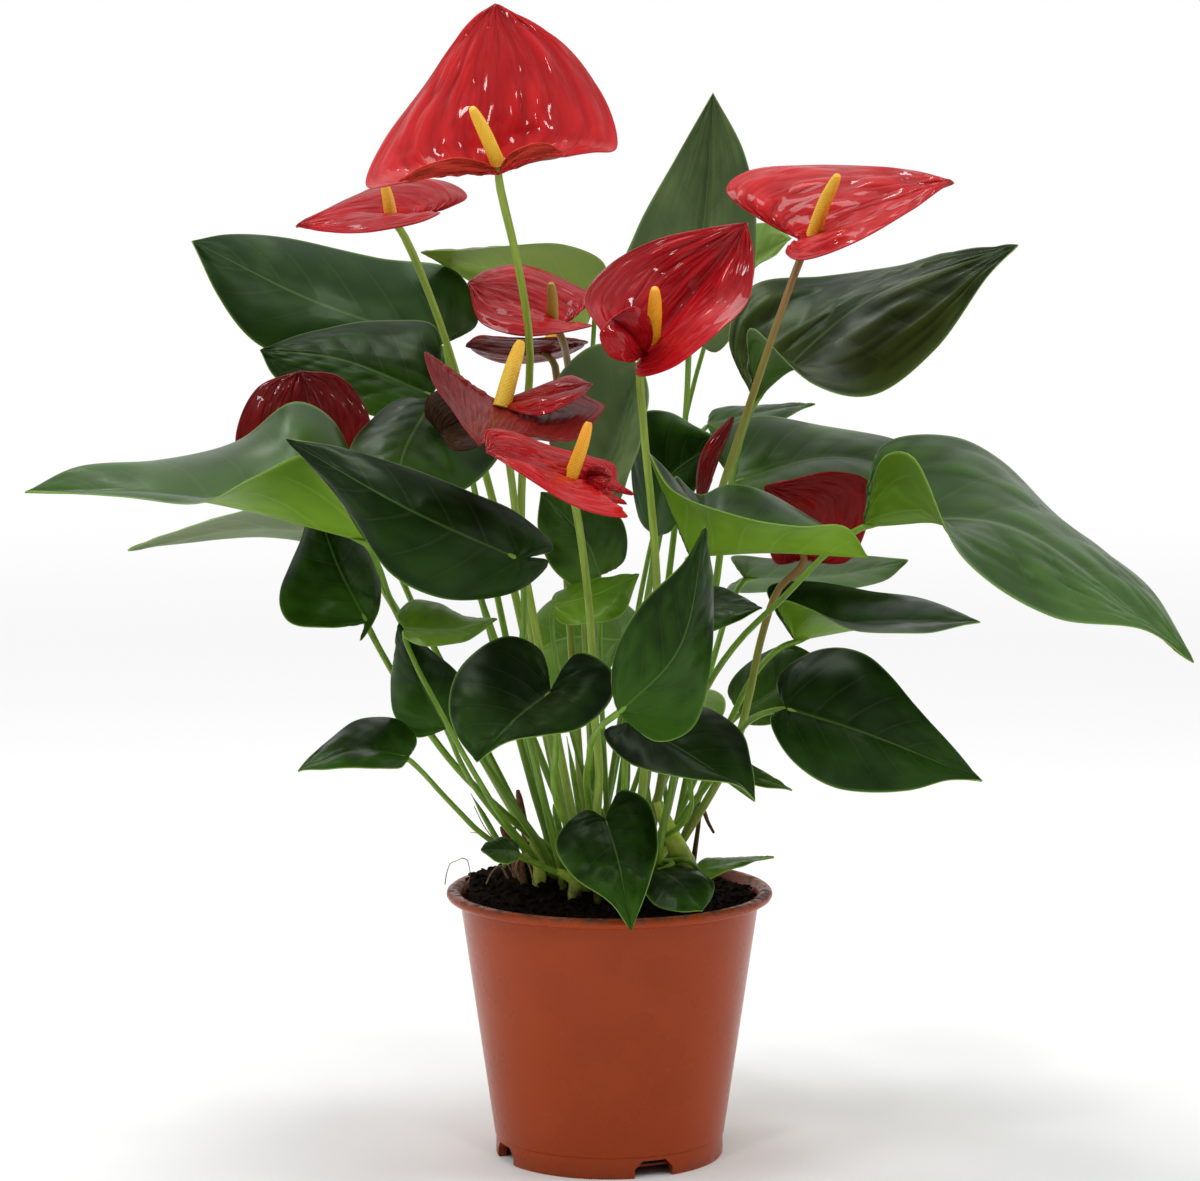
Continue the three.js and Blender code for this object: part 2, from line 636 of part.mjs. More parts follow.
// The free spot nearest to where the stem leans; it is taken off the list.
function takeFoot(lowest) {
  const wanted = [lowest.x * FOOT_PULL, lowest.y * FOOT_PULL];
  const distance = ([x, y]) => Math.hypot(x - wanted[0], y - wanted[1]);
  freeSpots.sort((a, b) => distance(a) - distance(b));
  const [x, y] = freeSpots.shift();
  return V(x, y, soilHeight(x, y));
}

const stems = [];

// A stem is straight and upright in the soil, then follows its curve up to its end. A petiole of
// a shoot starts inside the shoot's sheath.
function addStem(node, foot, viaPoints, endPoints, radii, inSheath = false) {
  const mouth = foot.clone().add(V(0, 0, inSheath ? SHEATH.start : MOUTH_HEIGHT));
  const curve = curveThrough([mouth, ...viaPoints.slice().reverse(), ...endPoints]);
  const centres = [foot.clone().add(V(0, 0, inSheath ? 1 : -STEM_DEPTH)), mouth];
  for (let i = 1; i <= STEM_STEPS; i += 1) centres.push(curve.getPointAt(i / STEM_STEPS));
  if (endPoints.length > 1) centres.splice(-1, 0, endPoints[0]);
  const radiusAt = (i) => THREE.MathUtils.lerp(radii.foot, radii.top, Math.sqrt(i / (centres.length - 1)));
  const girth = (i) => (inSheath && i < 2 ? SHEATH.foot : radiusAt(i));
  const stem = { node, foot, centres, radiusAt, girth, radii };
  stems.push(stem);
  return stem;
}

// The nearest points of two straight stretches, as fractions along each.
function nearest(p1, q1, p2, q2) {
  const [d1, d2, r] = [q1.clone().sub(p1), q2.clone().sub(p2), p1.clone().sub(p2)];
  const [a, e, f, c, b] = [d1.dot(d1), d2.dot(d2), d2.dot(r), d1.dot(r), d1.dot(d2)];
  const clamp = (t) => Math.min(1, Math.max(0, t));
  const across = a * e - b * b;
  let s = across > 1e-9 ? clamp((b * f - c * e) / across) : 0.5;
  const t = clamp((b * s + f) / e);
  s = clamp((b * t - c) / a);
  return [s, t];
}

// Stems that come too near each other are bent apart, sideways, a little each round.
function bendClear() {
  for (let round = 0; round < CLEARING_ROUNDS; round += 1) {
    let bends = 0;
    for (let i = 0; i < stems.length; i += 1) {
      for (let j = i + 1; j < stems.length; j += 1) {
        if (stems[i].node !== stems[j].node) bends += bendPair(stems[i], stems[j]);
      }
    }
    if (bends === 0) return;
  }
}

function bendPair(one, other) {
  const movable = (stem, i) => i >= 2 && i < stem.centres.length - 2;
  const reach = one.girth(0) + other.girth(0) + STEM_CLEARANCE;
  let bends = 0;
  for (let i = 1; i < one.centres.length - 1; i += 1) {
    const [p1, q1] = [one.centres[i], one.centres[i + 1]];
    for (let j = 1; j < other.centres.length - 1; j += 1) {
      const [p2, q2] = [other.centres[j], other.centres[j + 1]];
      if (Math.max(p1.z, q1.z) < Math.min(p2.z, q2.z) - reach) continue;
      if (Math.max(p2.z, q2.z) < Math.min(p1.z, q1.z) - reach) continue;
      const [s, t] = nearest(p1, q1, p2, q2);
      const apart = lerp(p1, q1, s).sub(lerp(p2, q2, t));
      const wanted = one.girth(i) + other.girth(j) + STEM_CLEARANCE;
      const distance = apart.length();
      if (distance >= wanted) continue;
      const push = V(apart.x, apart.y, 0);
      if (push.length() < 0.05) push.set(0.3, 1, 0);
      push.normalize().multiplyScalar((wanted - distance) / 2 + 0.05);
      if (movable(one, i)) p1.addScaledVector(push, 1 - s);
      if (movable(one, i + 1)) q1.addScaledVector(push, s);
      if (movable(other, j)) p2.addScaledVector(push, t - 1);
      if (movable(other, j + 1)) q2.addScaledVector(push, -t);
      bends += 1;
    }
  }
  return bends;
}

// ---- the plant ----

const plant = new THREE.Group();

function addPiece(name, solid, colour, roughness) {
  const material = new THREE.MeshStandardMaterial({ color: COLOURS[colour], roughness });
  const mesh = new THREE.Mesh(geometryFrom(solid), material);
  mesh.name = name;
  plant.add(mesh);
}

function planFlower(flower) {
  const sheet = bladeSheet(flower);
  const { point, up } = seat(sheet, STALK_SEAT.inward);
  const via = flower.via.map(seen);
  const under = seen(flower.base).addScaledVector(up, -STALK_SEAT.below);
  const stem = addStem(`stalk_${flower.name}`, takeFoot(via.at(-1)), via, [under, point], STALK);
  return { flower, sheet, point, up, stem };
}

function spadixSolid({ tip, radius }, point, up) {
  const end = seen(tip);
  const middle = lerp(point, end, 0.5).addScaledVector(up, SPADIX.bend);
  const curve = curveThrough([point, middle, end]);
  const centres = Array.from({ length: SPADIX.rings + 1 }, (_, i) => curve.getPointAt(i / SPADIX.rings));
  const taper = (t) => 0.35 + 0.65 * Math.sqrt(Math.max(0, 1 - t ** 5)) * (1 - 0.25 * t);
  const relief = (i, s) => 1 + ((i + s) % 2 ? SPADIX.relief : -SPADIX.relief);
  return tube(centres, (i) => radius * taper(i / SPADIX.rings), SPADIX.sides, relief);
}

// The spadix and the stalk stop just short of the spathe, on its two faces.
function buildFlower({ flower, sheet, point, up, stem }) {
  const keepOut = thicken(sheet, SPATHE_THICKNESS + 2 * GAP);
  const stalk = tube(stem.centres, stem.radiusAt, STALK_SIDES);
  const spadix = spadixSolid(flower.spadix, point, up);
  addPiece(`spathe_${flower.name}`, thicken(sheet, SPATHE_THICKNESS), flower.spatheColour ?? 'spathe', 0.25);
  addPiece(`spadix_${flower.name}`, largestBody(spadix.subtract(keepOut)), 'spadix', 0.6);
  addPiece(`stalk_${flower.name}`, largestBody(stalk.subtract(keepOut)), flower.stalkColour ?? 'stalk', 0.5);
}

function planLeaf(leaf, node, sheathFoot) {
  const sheet = bladeSheet(leaf);
  const { point, up } = seat(sheet, PETIOLE_SEAT.inward);
  const via = leaf.via.map(seen);
  const under = seen(leaf.base).addScaledVector(up, -PETIOLE_SEAT.below);
  const end = point.addScaledVector(up, -PETIOLE_SEAT.sunk);
  const scale = leaf.petioleScale ?? 1;
  const radii = { foot: PETIOLE.foot * scale, top: PETIOLE.top * scale };
  const foot = sheathFoot ?? takeFoot(via.at(-1));
  return { sheet, stem: addStem(node, foot, via, [under, end], radii, Boolean(sheathFoot)) };
}

function buildLeaf({ sheet, stem }) {
  return thicken(sheet, LEAF_THICKNESS).add(tube(stem.centres, stem.radiusAt, PETIOLE_SIDES));
}

function planShoot({ name, colour, leaves }) {
  const foot = takeFoot(seen(leaves[0].via.at(-1)));
  const small = { petioleScale: SHOOT_SCALE, stations: SHOOT_STATIONS };
  const plans = leaves.map((leaf) => planLeaf({ ...small, ...leaf }, name, foot));
  return { name, colour, foot, leaves: plans };
}

// The thick green base out of which the petioles of one shoot come.
function sheathSolid(foot) {
  const heights = [-STEM_DEPTH, SHEATH.shoulder, SHEATH.height];
  const centres = heights.map((z) => foot.clone().add(V(0, 0, z)));
  return tube(centres, (i) => [SHEATH.foot, SHEATH.foot, SHEATH.top][i], SHEATH.sides);
}

function planBud() {
  const via = BUD.via.map(seen);
  return addStem('stalk_bud', takeFoot(via.at(-1)), via, [seen(BUD.base)], STALK);
}

function buildBud(stem) {
  const curve = curveThrough([BUD.base, BUD.middle, BUD.tip].map(seen));
  const shift = curve.getTangentAt(0).multiplyScalar(BUD.gap);
  const last = BUD.rings - 1;
  const centres = Array.from({ length: BUD.rings }, (_, i) => curve.getPointAt(i / last).add(shift));
  const girth = (i) => BUD.point + BUD.radius * Math.sin(Math.PI * (0.085 + 0.9 * (i / last))) ** 0.8;
  addPiece('spathe_bud', tube(centres, girth, BUD.sides), 'spatheOld', 0.3);
  addPiece('stalk_bud', tube(stem.centres, stem.radiusAt, STALK_SIDES), 'stalk', 0.5);
}

// ---- the pot ----

// The outside radius of the sloping wall at a height, from the step above the foot to the rim.
function potWall(height) {
  const climb = (height - FOOT_HEIGHT) / (POT_HEIGHT - RIM_DEPTH - FOOT_HEIGHT);
  return THREE.MathUtils.lerp(FOOT_RADIUS + FOOT_STEP, NECK_RADIUS, climb);
}

function potSolid() {
  const [top, inner] = [POT_HEIGHT, RIM_INNER_RADIUS];
  const floor = FLOOR_UNDERSIDE + POT_WALL;
  const footInner = FOOT_RADIUS - FOOT_RING_WIDTH;
  const profile = [
    [0, FLOOR_UNDERSIDE], [footInner - 0.6, FLOOR_UNDERSIDE], [footInner, 0],
    [FOOT_RADIUS - 0.5, 0], [FOOT_RADIUS, 0.7], [FOOT_RADIUS, FOOT_HEIGHT],
    [FOOT_RADIUS + FOOT_STEP, FOOT_HEIGHT + 0.6], [NECK_RADIUS, top - RIM_DEPTH],
    [NECK_RADIUS + 3.4, top - 3.6], [RIM_RADIUS - 0.3, top - 2.6], [RIM_RADIUS, top - 1.6],
    [RIM_RADIUS - 0.6, top - 0.5], [RIM_RADIUS - 2, top], [inner, top - 0.2],
    [inner - 1.4, top - 1.6], [NECK_RADIUS - POT_WALL, top - 5],
    [potWall(floor) - POT_WALL, floor], [0, floor],
  ].map(([radius, height]) => new THREE.Vector2(radius, height));
  const body = solidFromGeometry(new THREE.LatheGeometry(profile, POT_SIDES).rotateX(Math.PI / 2));
  return Array.from({ length: NOTCH.count }, (_, i) => notch(i)).reduce((pot, cut) => pot.subtract(cut), body);
}

// A drain cut-out: a slot through the foot ring with sloping ends.
function notch(i) {
  const half = NOTCH.width / 2;
  const eaves = NOTCH.height - NOTCH.shoulder;
  const outline = new THREE.Shape([
    [-half, -1], [half, -1], [half, eaves],
    [half - NOTCH.shoulder, NOTCH.height], [NOTCH.shoulder - half, NOTCH.height], [-half, eaves],
  ].map(([across, height]) => new THREE.Vector2(across, height)));
  const slot = new THREE.ExtrudeGeometry(outline, { depth: NOTCH.length, bevelEnabled: false });
  const angle = THREE.MathUtils.degToRad(NOTCH.first + (i * 360) / NOTCH.count);
  return solidFromGeometry(slot.rotateX(Math.PI / 2).rotateZ(Math.PI / 2)
    .translate(FOOT_RADIUS - NOTCH.reach, 0, 0).rotateZ(angle));
}

// ---- the soil ----

function soilSolid() {
  const random = seededRandom(SOIL.seed);
  const bottom = FLOOR_UNDERSIDE + POT_WALL + GAP;
  const shoulder = SOIL.edge - SOIL.shoulder;
  const wall = (z) => potWall(z) - POT_WALL - SOIL_SIDE_GAP;
  const vertices = [V(0, 0, bottom)];
  const triangles = [];
  const rings = [[wall(bottom), () => bottom], [wall(shoulder), () => shoulder]];
  for (let i = SOIL.rings; i > 0; i -= 1) {
    const radius = (wall(shoulder) * i) / (SOIL.rings + 0.35);
    rings.push([radius, (x, y) => soilHeight(x, y) + (random() - 0.5) * SOIL.crumbs]);
  }
  for (const [radius, heightAt] of rings) {
    for (let s = 0; s < POT_SIDES; s += 1) {
      const angle = (s / POT_SIDES) * 2 * Math.PI;
      const [x, y] = [radius * Math.sin(angle), -radius * Math.cos(angle)];
      vertices.push(V(x, y, heightAt(x, y)));
    }
  }
  vertices.push(V(0, 0, soilHeight(0, 0)));
  const at = (r, s) => 1 + r * POT_SIDES + (s % POT_SIDES);
  const last = rings.length - 1;
  for (let s = 0; s < POT_SIDES; s += 1) {
    triangles.push([0, at(0, s + 1), at(0, s)], [at(last, s), at(last, s + 1), vertices.length - 1]);
    for (let r = 0; r < last; r += 1) {
      triangles.push([at(r, s), at(r, s + 1), at(r + 1, s + 1)], [at(r, s), at(r + 1, s + 1), at(r + 1, s)]);
    }
  }
  return solidFrom(vertices, triangles);
}

function stemHole({ foot, width }) {
  const radius = (width + HOLE_GAP) / Math.cos(Math.PI / HOLE_SIDES);
  const bottom = foot.clone().add(V(0, 0, -STEM_DEPTH - GAP));
  return tube([bottom, foot.clone().add(V(0, 0, HOLE_TOP))], () => radius, HOLE_SIDES);
}

// ---- putting it together ----

const flowerPlans = FLOWERS.map(planFlower);
const budPlan = planBud();
const leafPlans = LEAVES.map((leaf) => ({ name: leaf.name, ...planLeaf(leaf, `leaf_${leaf.name}`) }));
const shootPlans = SHOOTS.map(planShoot);
bendClear();

addPiece('pot', potSolid(), 'pot', 0.45);
const singleStems = [...flowerPlans, ...leafPlans].map(({ stem }) => stem).concat(budPlan);
const holes = [
  ...singleStems.map(({ foot, radii }) => stemHole({ foot, width: radii.foot })),
  ...shootPlans.map(({ foot }) => stemHole({ foot, width: SHEATH.foot })),
];
addPiece('soil', holes.reduce((soil, hole) => soil.subtract(hole), soilSolid()), 'soil', 0.95);
flowerPlans.forEach(buildFlower);
buildBud(budPlan);
leafPlans.forEach((plan) => addPiece(`leaf_${plan.name}`, buildLeaf(plan), 'leaf', 0.35));
shootPlans.forEach(({ name, colour, foot, leaves }) => {
  const shoot = leaves.map(buildLeaf).reduce((whole, leaf) => whole.add(leaf), sheathSolid(foot));
  addPiece(`leaf_${name}`, shoot, colour, 0.4);
});

export default plant;
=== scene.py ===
# %% [markdown]
# # A potted anthurium
# The real object is a young flowering plant in a thin plastic nursery pot: glossy red bracts, called
# spathes, each with a beaded spike, the spadix, over dark heart-shaped leaves. The CAD part already
# has every piece in its place. This lesson keeps those places and gives each piece the finer shape
# and the finish of the real thing.

import math
import random

import bmesh
import bpy
import numpy as np
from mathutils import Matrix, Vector, noise


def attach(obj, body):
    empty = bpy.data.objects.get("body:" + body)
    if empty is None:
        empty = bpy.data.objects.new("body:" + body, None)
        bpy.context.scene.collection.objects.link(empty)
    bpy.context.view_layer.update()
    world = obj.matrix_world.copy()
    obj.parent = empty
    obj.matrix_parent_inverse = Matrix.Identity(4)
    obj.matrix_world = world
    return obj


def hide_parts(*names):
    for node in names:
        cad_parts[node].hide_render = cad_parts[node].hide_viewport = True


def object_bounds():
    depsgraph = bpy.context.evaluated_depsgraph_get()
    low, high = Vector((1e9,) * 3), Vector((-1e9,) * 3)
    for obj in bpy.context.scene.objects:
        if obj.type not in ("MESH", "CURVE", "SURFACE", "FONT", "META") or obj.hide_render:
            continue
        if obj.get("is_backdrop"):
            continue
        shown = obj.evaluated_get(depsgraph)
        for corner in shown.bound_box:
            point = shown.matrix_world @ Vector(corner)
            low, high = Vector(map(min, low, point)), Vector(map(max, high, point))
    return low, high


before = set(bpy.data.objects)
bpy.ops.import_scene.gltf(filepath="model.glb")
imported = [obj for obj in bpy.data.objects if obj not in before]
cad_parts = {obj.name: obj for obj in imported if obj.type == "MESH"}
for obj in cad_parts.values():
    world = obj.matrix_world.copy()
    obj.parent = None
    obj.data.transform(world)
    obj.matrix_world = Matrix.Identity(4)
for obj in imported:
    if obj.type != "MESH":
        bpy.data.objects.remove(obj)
cad_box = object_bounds()
MM = 0.001
print("CAD nodes:", len(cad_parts), "box:", [list(corner) for corner in cad_box])

# %% [markdown]
# ## The camera
# The photograph was taken from the front with a long lens, a little above the flowers. Its lens and
# height were worked out from the pot, whose rim and foot are circles of known size. The same viewer
# serves a second time below: each leaf was drawn by where it is seen and how deep it lies.

# %% Camera at the photograph's angle
VIEWER_X, VIEWER_DISTANCE, VIEWER_HEIGHT, AIM_HEIGHT = -3.5, 1600.0, 416.0, 209.6
PHOTO_WIDTH, PHOTO_HEIGHT, PHOTO_FOCAL = 1200, 1181, 4418.0
SENSOR_WIDTH, FARTHEST = 36.0, 50


def unit(vector):
    """The same direction with length one; works on one vector or on an array of them."""
    length = np.linalg.norm(vector, axis=-1, keepdims=True)
    return vector / np.where(length < 1e-12, 1.0, length)


def add_object(name, data):
    """An object for this mesh, lamp or camera, put into the scene."""
    thing = bpy.data.objects.new(name, data)
    bpy.context.scene.collection.objects.link(thing)
    return thing


EYE = np.array([VIEWER_X, -VIEWER_DISTANCE, VIEWER_HEIGHT])
AHEAD = unit(np.array([VIEWER_X, 0.0, AIM_HEIGHT]) - EYE)
ACROSS = unit(np.cross(AHEAD, [0.0, 0.0, 1.0]))
UPWARD = np.cross(ACROSS, AHEAD)

camera_data = bpy.data.cameras.new("photo_camera")
camera_data.sensor_width = SENSOR_WIDTH
camera_data.lens = PHOTO_FOCAL * SENSOR_WIDTH / PHOTO_WIDTH
camera_data.clip_end = FARTHEST
camera = add_object("photo_camera", camera_data)
camera.location = EYE * MM
camera.rotation_euler = Vector(AHEAD).to_track_quat("-Z", "Y").to_euler()
bpy.context.scene.camera = camera
print("lens:", round(camera_data.lens, 2), "mm")


# %% A point from its place in the photograph's frame and its depth
def seen(spot):
    """The point in millimetres that is seen at (across, down) and lies depth behind the pot's middle."""
    across, down, depth = spot
    ray = AHEAD + ACROSS * (across - PHOTO_WIDTH / 2) / PHOTO_FOCAL
    ray = ray + UPWARD * (PHOTO_HEIGHT / 2 - down) / PHOTO_FOCAL
    return EYE + ray * ((depth - EYE[1]) / ray[1])


print("the picture's centre lies at", seen((PHOTO_WIDTH / 2, PHOTO_HEIGHT / 2, 0.0)).round(1), "mm")

# %% [markdown]
# ## Floor and light
# A studio floor could be a plane with a wall, but a wall would stand in the way of the views from
# behind. Here the floor is one wide disc that turns, far from the plant, into the same plain white
# as the sky around it, so no horizon shows from any side. Three large lamps give the broad sheen on
# the leaves and the pale strips on the pot, and a few small ones give the sparks on the wrinkles of
# the spathes.

# %% Small helpers for building node trees
def link(tree, source, target):
    """Joins an output to an input."""
    tree.links.new(source, target)


def set_or_link(tree, socket, value):
    """Links another node's output, or sets a plain value; a colour is given without its alpha."""
    if isinstance(value, bpy.types.NodeSocket):
        link(tree, value, socket)
    elif socket.type == "RGBA":
        socket.default_value = (*value, 1.0)
    else:
        socket.default_value = value


def add_node(tree, kind, settings, **choices):
    """A shader node with its choices made and its inputs set or linked, by name or by number."""
    node = tree.nodes.new(f"ShaderNode{kind}")
    for name, choice in choices.items():
        setattr(node, name, choice)
    for name, value in settings.items():
        set_or_link(tree, node.inputs[name], value)
    return node


def new_material(name):
    """An empty node material with its output node, and the tree to build in."""
    material = bpy.data.materials.new(name)
    material.use_nodes = True
    tree = material.node_tree
    tree.nodes.clear()
    return material, tree, add_node(tree, "OutputMaterial", {})


def math_node(tree, operation, first, second=0.0):
    """The result of one sum, product or other step with two values."""
    return add_node(tree, "Math", {0: first, 1: second}, operation=operation).outputs[0]


def times(tree, first, second):
    """The product of two values; a mask times a mask is where both hold."""
    return math_node(tree, "MULTIPLY", first, second)


def ramp_node(tree, value, low, high, start=0.0, end=1.0):
    """A smooth step of value between low and high, from start to end."""
    settings = {"Value": value, "From Min": low, "From Max": high, "To Min": start, "To Max": end}
    return add_node(tree, "MapRange", settings, interpolation_type="SMOOTHSTEP").outputs["Result"]


def split_vector(tree, vector):
    """The outputs X, Y and Z of a vector."""
    return add_node(tree, "SeparateXYZ", {0: vector}).outputs


def object_place(tree):
    """The place in the object's own space, in metres."""
    return add_node(tree, "TexCoord", {}).outputs["Object"]


# %% Pale floor
SKY_WHITE = (1.0, 1.0, 1.0)
FLOOR_PALE = (0.88, 0.88, 0.88)
FLOOR_RADIUS, FLOOR_SIDES = 20.0, 96
FLOOR_FADE = (0.5, 2.2)


def pale_floor_finish():
    """Matte under the plant, and as bright as the sky far from it."""
    material, tree, output = new_material("pale_floor")
    length = add_node(tree, "VectorMath", {0: object_place(tree)}, operation="LENGTH")
    share = ramp_node(tree, length.outputs["Value"], *FLOOR_FADE)
    matte = add_node(tree, "BsdfDiffuse", {"Color": FLOOR_PALE})
    glow = add_node(tree, "Emission", {"Color": SKY_WHITE})
    mix = add_node(tree, "MixShader", {0: share, 1: matte.outputs[0], 2: glow.outputs[0]})
    link(tree, mix.outputs[0], output.inputs["Surface"])
    return material


def add_floor():
    """A wide flat disc under the pot; it belongs to the studio, not to the plant."""
    mesh = bpy.data.meshes.new("studio_floor")
    sketch = bmesh.new()
    bmesh.ops.create_circle(sketch, cap_ends=True, radius=FLOOR_RADIUS, segments=FLOOR_SIDES)
    sketch.to_mesh(mesh)
    sketch.free()
    mesh.materials.append(pale_floor_finish())
    add_object("studio_floor", mesh)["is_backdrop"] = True


add_floor()
print("floor:", 2 * FLOOR_RADIUS, "m wide; it fades to white between", FLOOR_FADE, "m from the pot")


# %% Sky
BEHIND_RANGE, OVERHEAD_RANGE = (-0.5, 0.7), (0.25, 0.95)


def add_sky(front, back, top):
    """A plain white sky for the camera; its light on the plant is softer in front than behind."""
    world = bpy.data.worlds.new("studio_sky")
    world.use_nodes = True
    tree = world.node_tree
    tree.nodes.clear()
    direction = split_vector(tree, add_node(tree, "TexCoord", {}).outputs["Generated"])
    behind = ramp_node(tree, direction["Y"], *BEHIND_RANGE, front, back)
    overhead = ramp_node(tree, direction["Z"], *OVERHEAD_RANGE, 0.0, top)
    light = math_node(tree, "MAXIMUM", behind, overhead)
    for_camera = add_node(tree, "LightPath", {}).outputs["Is Camera Ray"]
    strength = add_node(tree, "Mix", {"Factor": for_camera, "A": light, "B": 1.0}).outputs["Result"]
    sky = add_node(tree, "Background", {"Color": SKY_WHITE, "Strength": strength})
    add_node(tree, "OutputWorld", {"Surface": sky.outputs[0]})
    bpy.context.scene.world = world


add_sky(front=0.15, back=0.85, top=0.85)
bpy.context.scene.view_settings.view_transform = "Standard"
print("sky:", bpy.context.scene.world.name)


# %% Soft lamps
PLANT_MIDDLE = (0.0, 0.0, 0.22)
LARGE_LAMPS = dict(
    overhead=((-0.25, 0.15, 1.9), (0.8, 0.6), 12.0),
    left=((-1.5, -0.75, 0.7), (0.8, 1.3), 4.5),
    right=((1.65, -0.15, 0.7), (0.8, 1.3), 5.5),
)
SMALL_LAMP_REACH, SMALL_LAMP_CENTRE, SMALL_LAMP_SIZE = 2.0, 0.3, (0.17, 0.17)
SMALL_LAMPS = [(-112, 42, 3.5), (-72, 42, 3.5), (-160, 44, 4.0), (-20, 46, 4.0), (120, 50, 2.0)]


def add_lamp(name, place, size, watts):
    """A square lamp at a place, turned toward the middle of the plant."""
    lamp_data = bpy.data.lights.new(name, "AREA")
    lamp_data.shape = "RECTANGLE"
    lamp_data.size, lamp_data.size_y = size
    lamp_data.energy = watts
    lamp = add_object(name, lamp_data)
    lamp.location = place
    lamp.rotation_euler = (Vector(PLANT_MIDDLE) - Vector(place)).to_track_quat("-Z", "Y").to_euler()


for name, (place, size, watts) in LARGE_LAMPS.items():
    add_lamp(f"lamp_{name}", place, size, watts)
for turn, lift, watts in SMALL_LAMPS:
    level = math.cos(math.radians(lift)) * SMALL_LAMP_REACH
    height = SMALL_LAMP_CENTRE + math.sin(math.radians(lift)) * SMALL_LAMP_REACH
    place = (level * math.cos(math.radians(turn)), level * math.sin(math.radians(turn)), height)
    add_lamp(f"lamp_small_{turn % 360}", place, SMALL_LAMP_SIZE, watts)
print("lamps:", len(LARGE_LAMPS) + len(SMALL_LAMPS))

# %% [markdown]
# ## Smooth lines and thin blades
# Leaves and spathes are thin sheets. They could be cut from a plane and bent, but then their edges
# would be hard to place. Here a blade is stretched between three smooth lines: its midrib and its
# two edges. Rays run from the midrib to the edge, and fan out near the stalk, which gives the heart
# shape. The rays also tell every point how far along and how far out it lies, for veins and colour.


# %% Smooth lines through a few points
class SmoothLine:
    """A centripetal spline that can be walked evenly: at(0.5) is half its length along."""

    STEPS = 200

    def __init__(self, points):
        self.points = np.array(points, float)
        self.shares = np.linspace(0.0, 1.0, self.STEPS + 1)
        runs = np.linalg.norm(np.diff(self.spline(self.shares), axis=0), axis=1)
        self.lengths = np.concatenate([[0.0], np.cumsum(runs)])

    def spline(self, t):
        """The points at t; each stretch between two of the given points takes up as much of t."""
        points = self.points
        before, after = 2 * points[0] - points[1], 2 * points[-1] - points[-2]
        knots = np.vstack([before, points, after])
        place = np.asarray(t, float) * (len(points) - 1)
        first = np.clip(np.floor(place).astype(int), 0, len(points) - 2)
        w = (place - first)[:, None]
        p0, p1, p2, p3 = (knots[first + i] for i in range(4))
        d0, d1, d2 = (
            np.sqrt(np.linalg.norm(b - a, axis=1))[:, None] for a, b in ((p0, p1), (p1, p2), (p2, p3))
        )
        leave = ((p1 - p0) / d0 - (p2 - p0) / (d0 + d1) + (p2 - p1) / d1) * d1
        arrive = ((p2 - p1) / d1 - (p3 - p1) / (d1 + d2) + (p3 - p2) / d2) * d1
        square = -3 * p1 + 3 * p2 - 2 * leave - arrive
        cube = 2 * p1 - 2 * p2 + leave + arrive
        return p1 + leave * w + square * w**2 + cube * w**3

    def parameter(self, share):
        """The t that lies at a share of the whole length."""
        return np.interp(np.atleast_1d(share) * self.lengths[-1], self.lengths, self.shares)

    def at(self, share):
        """The points at shares of the whole length."""
        return self.spline(self.parameter(share))

    def tangent(self, share):
        """The directions of the line at shares of its length."""
        t = self.parameter(share)
        return unit(self.spline(np.minimum(t + 1e-4, 1.0)) - self.spline(np.maximum(t - 1e-4, 0.0)))


def smoothstep(low, high, value):
    """Rises from 0 at low to 1 at high, without a kink."""
    t = np.clip((value - low) / (high - low), 0.0, 1.0)
    return t * t * (3 - 2 * t)


arch = SmoothLine([(0, 0, 0), (10, 5, 0), (20, 0, 0)])
print("an arch over 20 mm is", arch.lengths[-1].round(2), "mm long")


# %% A collector for the parts of one piece
class Sculpture:
    """Gathers vertices, faces, each corner's place on the blade, and each face's finish."""

    def __init__(self):
        self.points, self.faces, self.places, self.finishes, self.painted_light_values = [], [], [], [], []
        self.materials = []

    def add(self, points, faces, finish, places=None, painted_light_values=0.5):
        """Adds a part with one finish; places has a pair for each corner, painted_light_values one value
        of painted light and shade for each point.
        """
        start = len(self.points)
        if finish not in self.materials:
            self.materials.append(finish)
        self.points.extend(np.asarray(points).tolist())
        self.painted_light_values.extend(np.broadcast_to(painted_light_values, len(points)).tolist())
        self.faces.extend([start + i for i in face] for face in faces)
        self.places.extend(places if places is not None else [[(0.0, 0.5)] * len(f) for f in faces])
        self.finishes.extend([self.materials.index(finish)] * len(faces))

    def build(self, name, nodes):
        """Makes the object in metres, seats it on the root body and hides the CAD nodes it stands for.
        """
        mesh = bpy.data.meshes.new(name)
        mesh.from_pydata((np.array(self.points) * MM).tolist(), [], self.faces)
        mesh.polygons.foreach_set("material_index", self.finishes)
        mesh.polygons.foreach_set("use_smooth", [True] * len(self.faces))
        layer = mesh.uv_layers.new(name="place")
        corners = [value for face in self.places for corner in face for value in corner]
        layer.data.foreach_set("uv", corners)
        mesh.attributes.new("painted_light", "FLOAT", "POINT").data.foreach_set("value", self.painted_light_values)
        for finish in self.materials:
            mesh.materials.append(bpy.data.materials[finish])
        piece = add_object(name, mesh)
        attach(piece, "root")
        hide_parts(*nodes)
        return piece


# %% The sheet of a blade
BLADE_FAN = 0.3
BLADE_BOW = 0.07


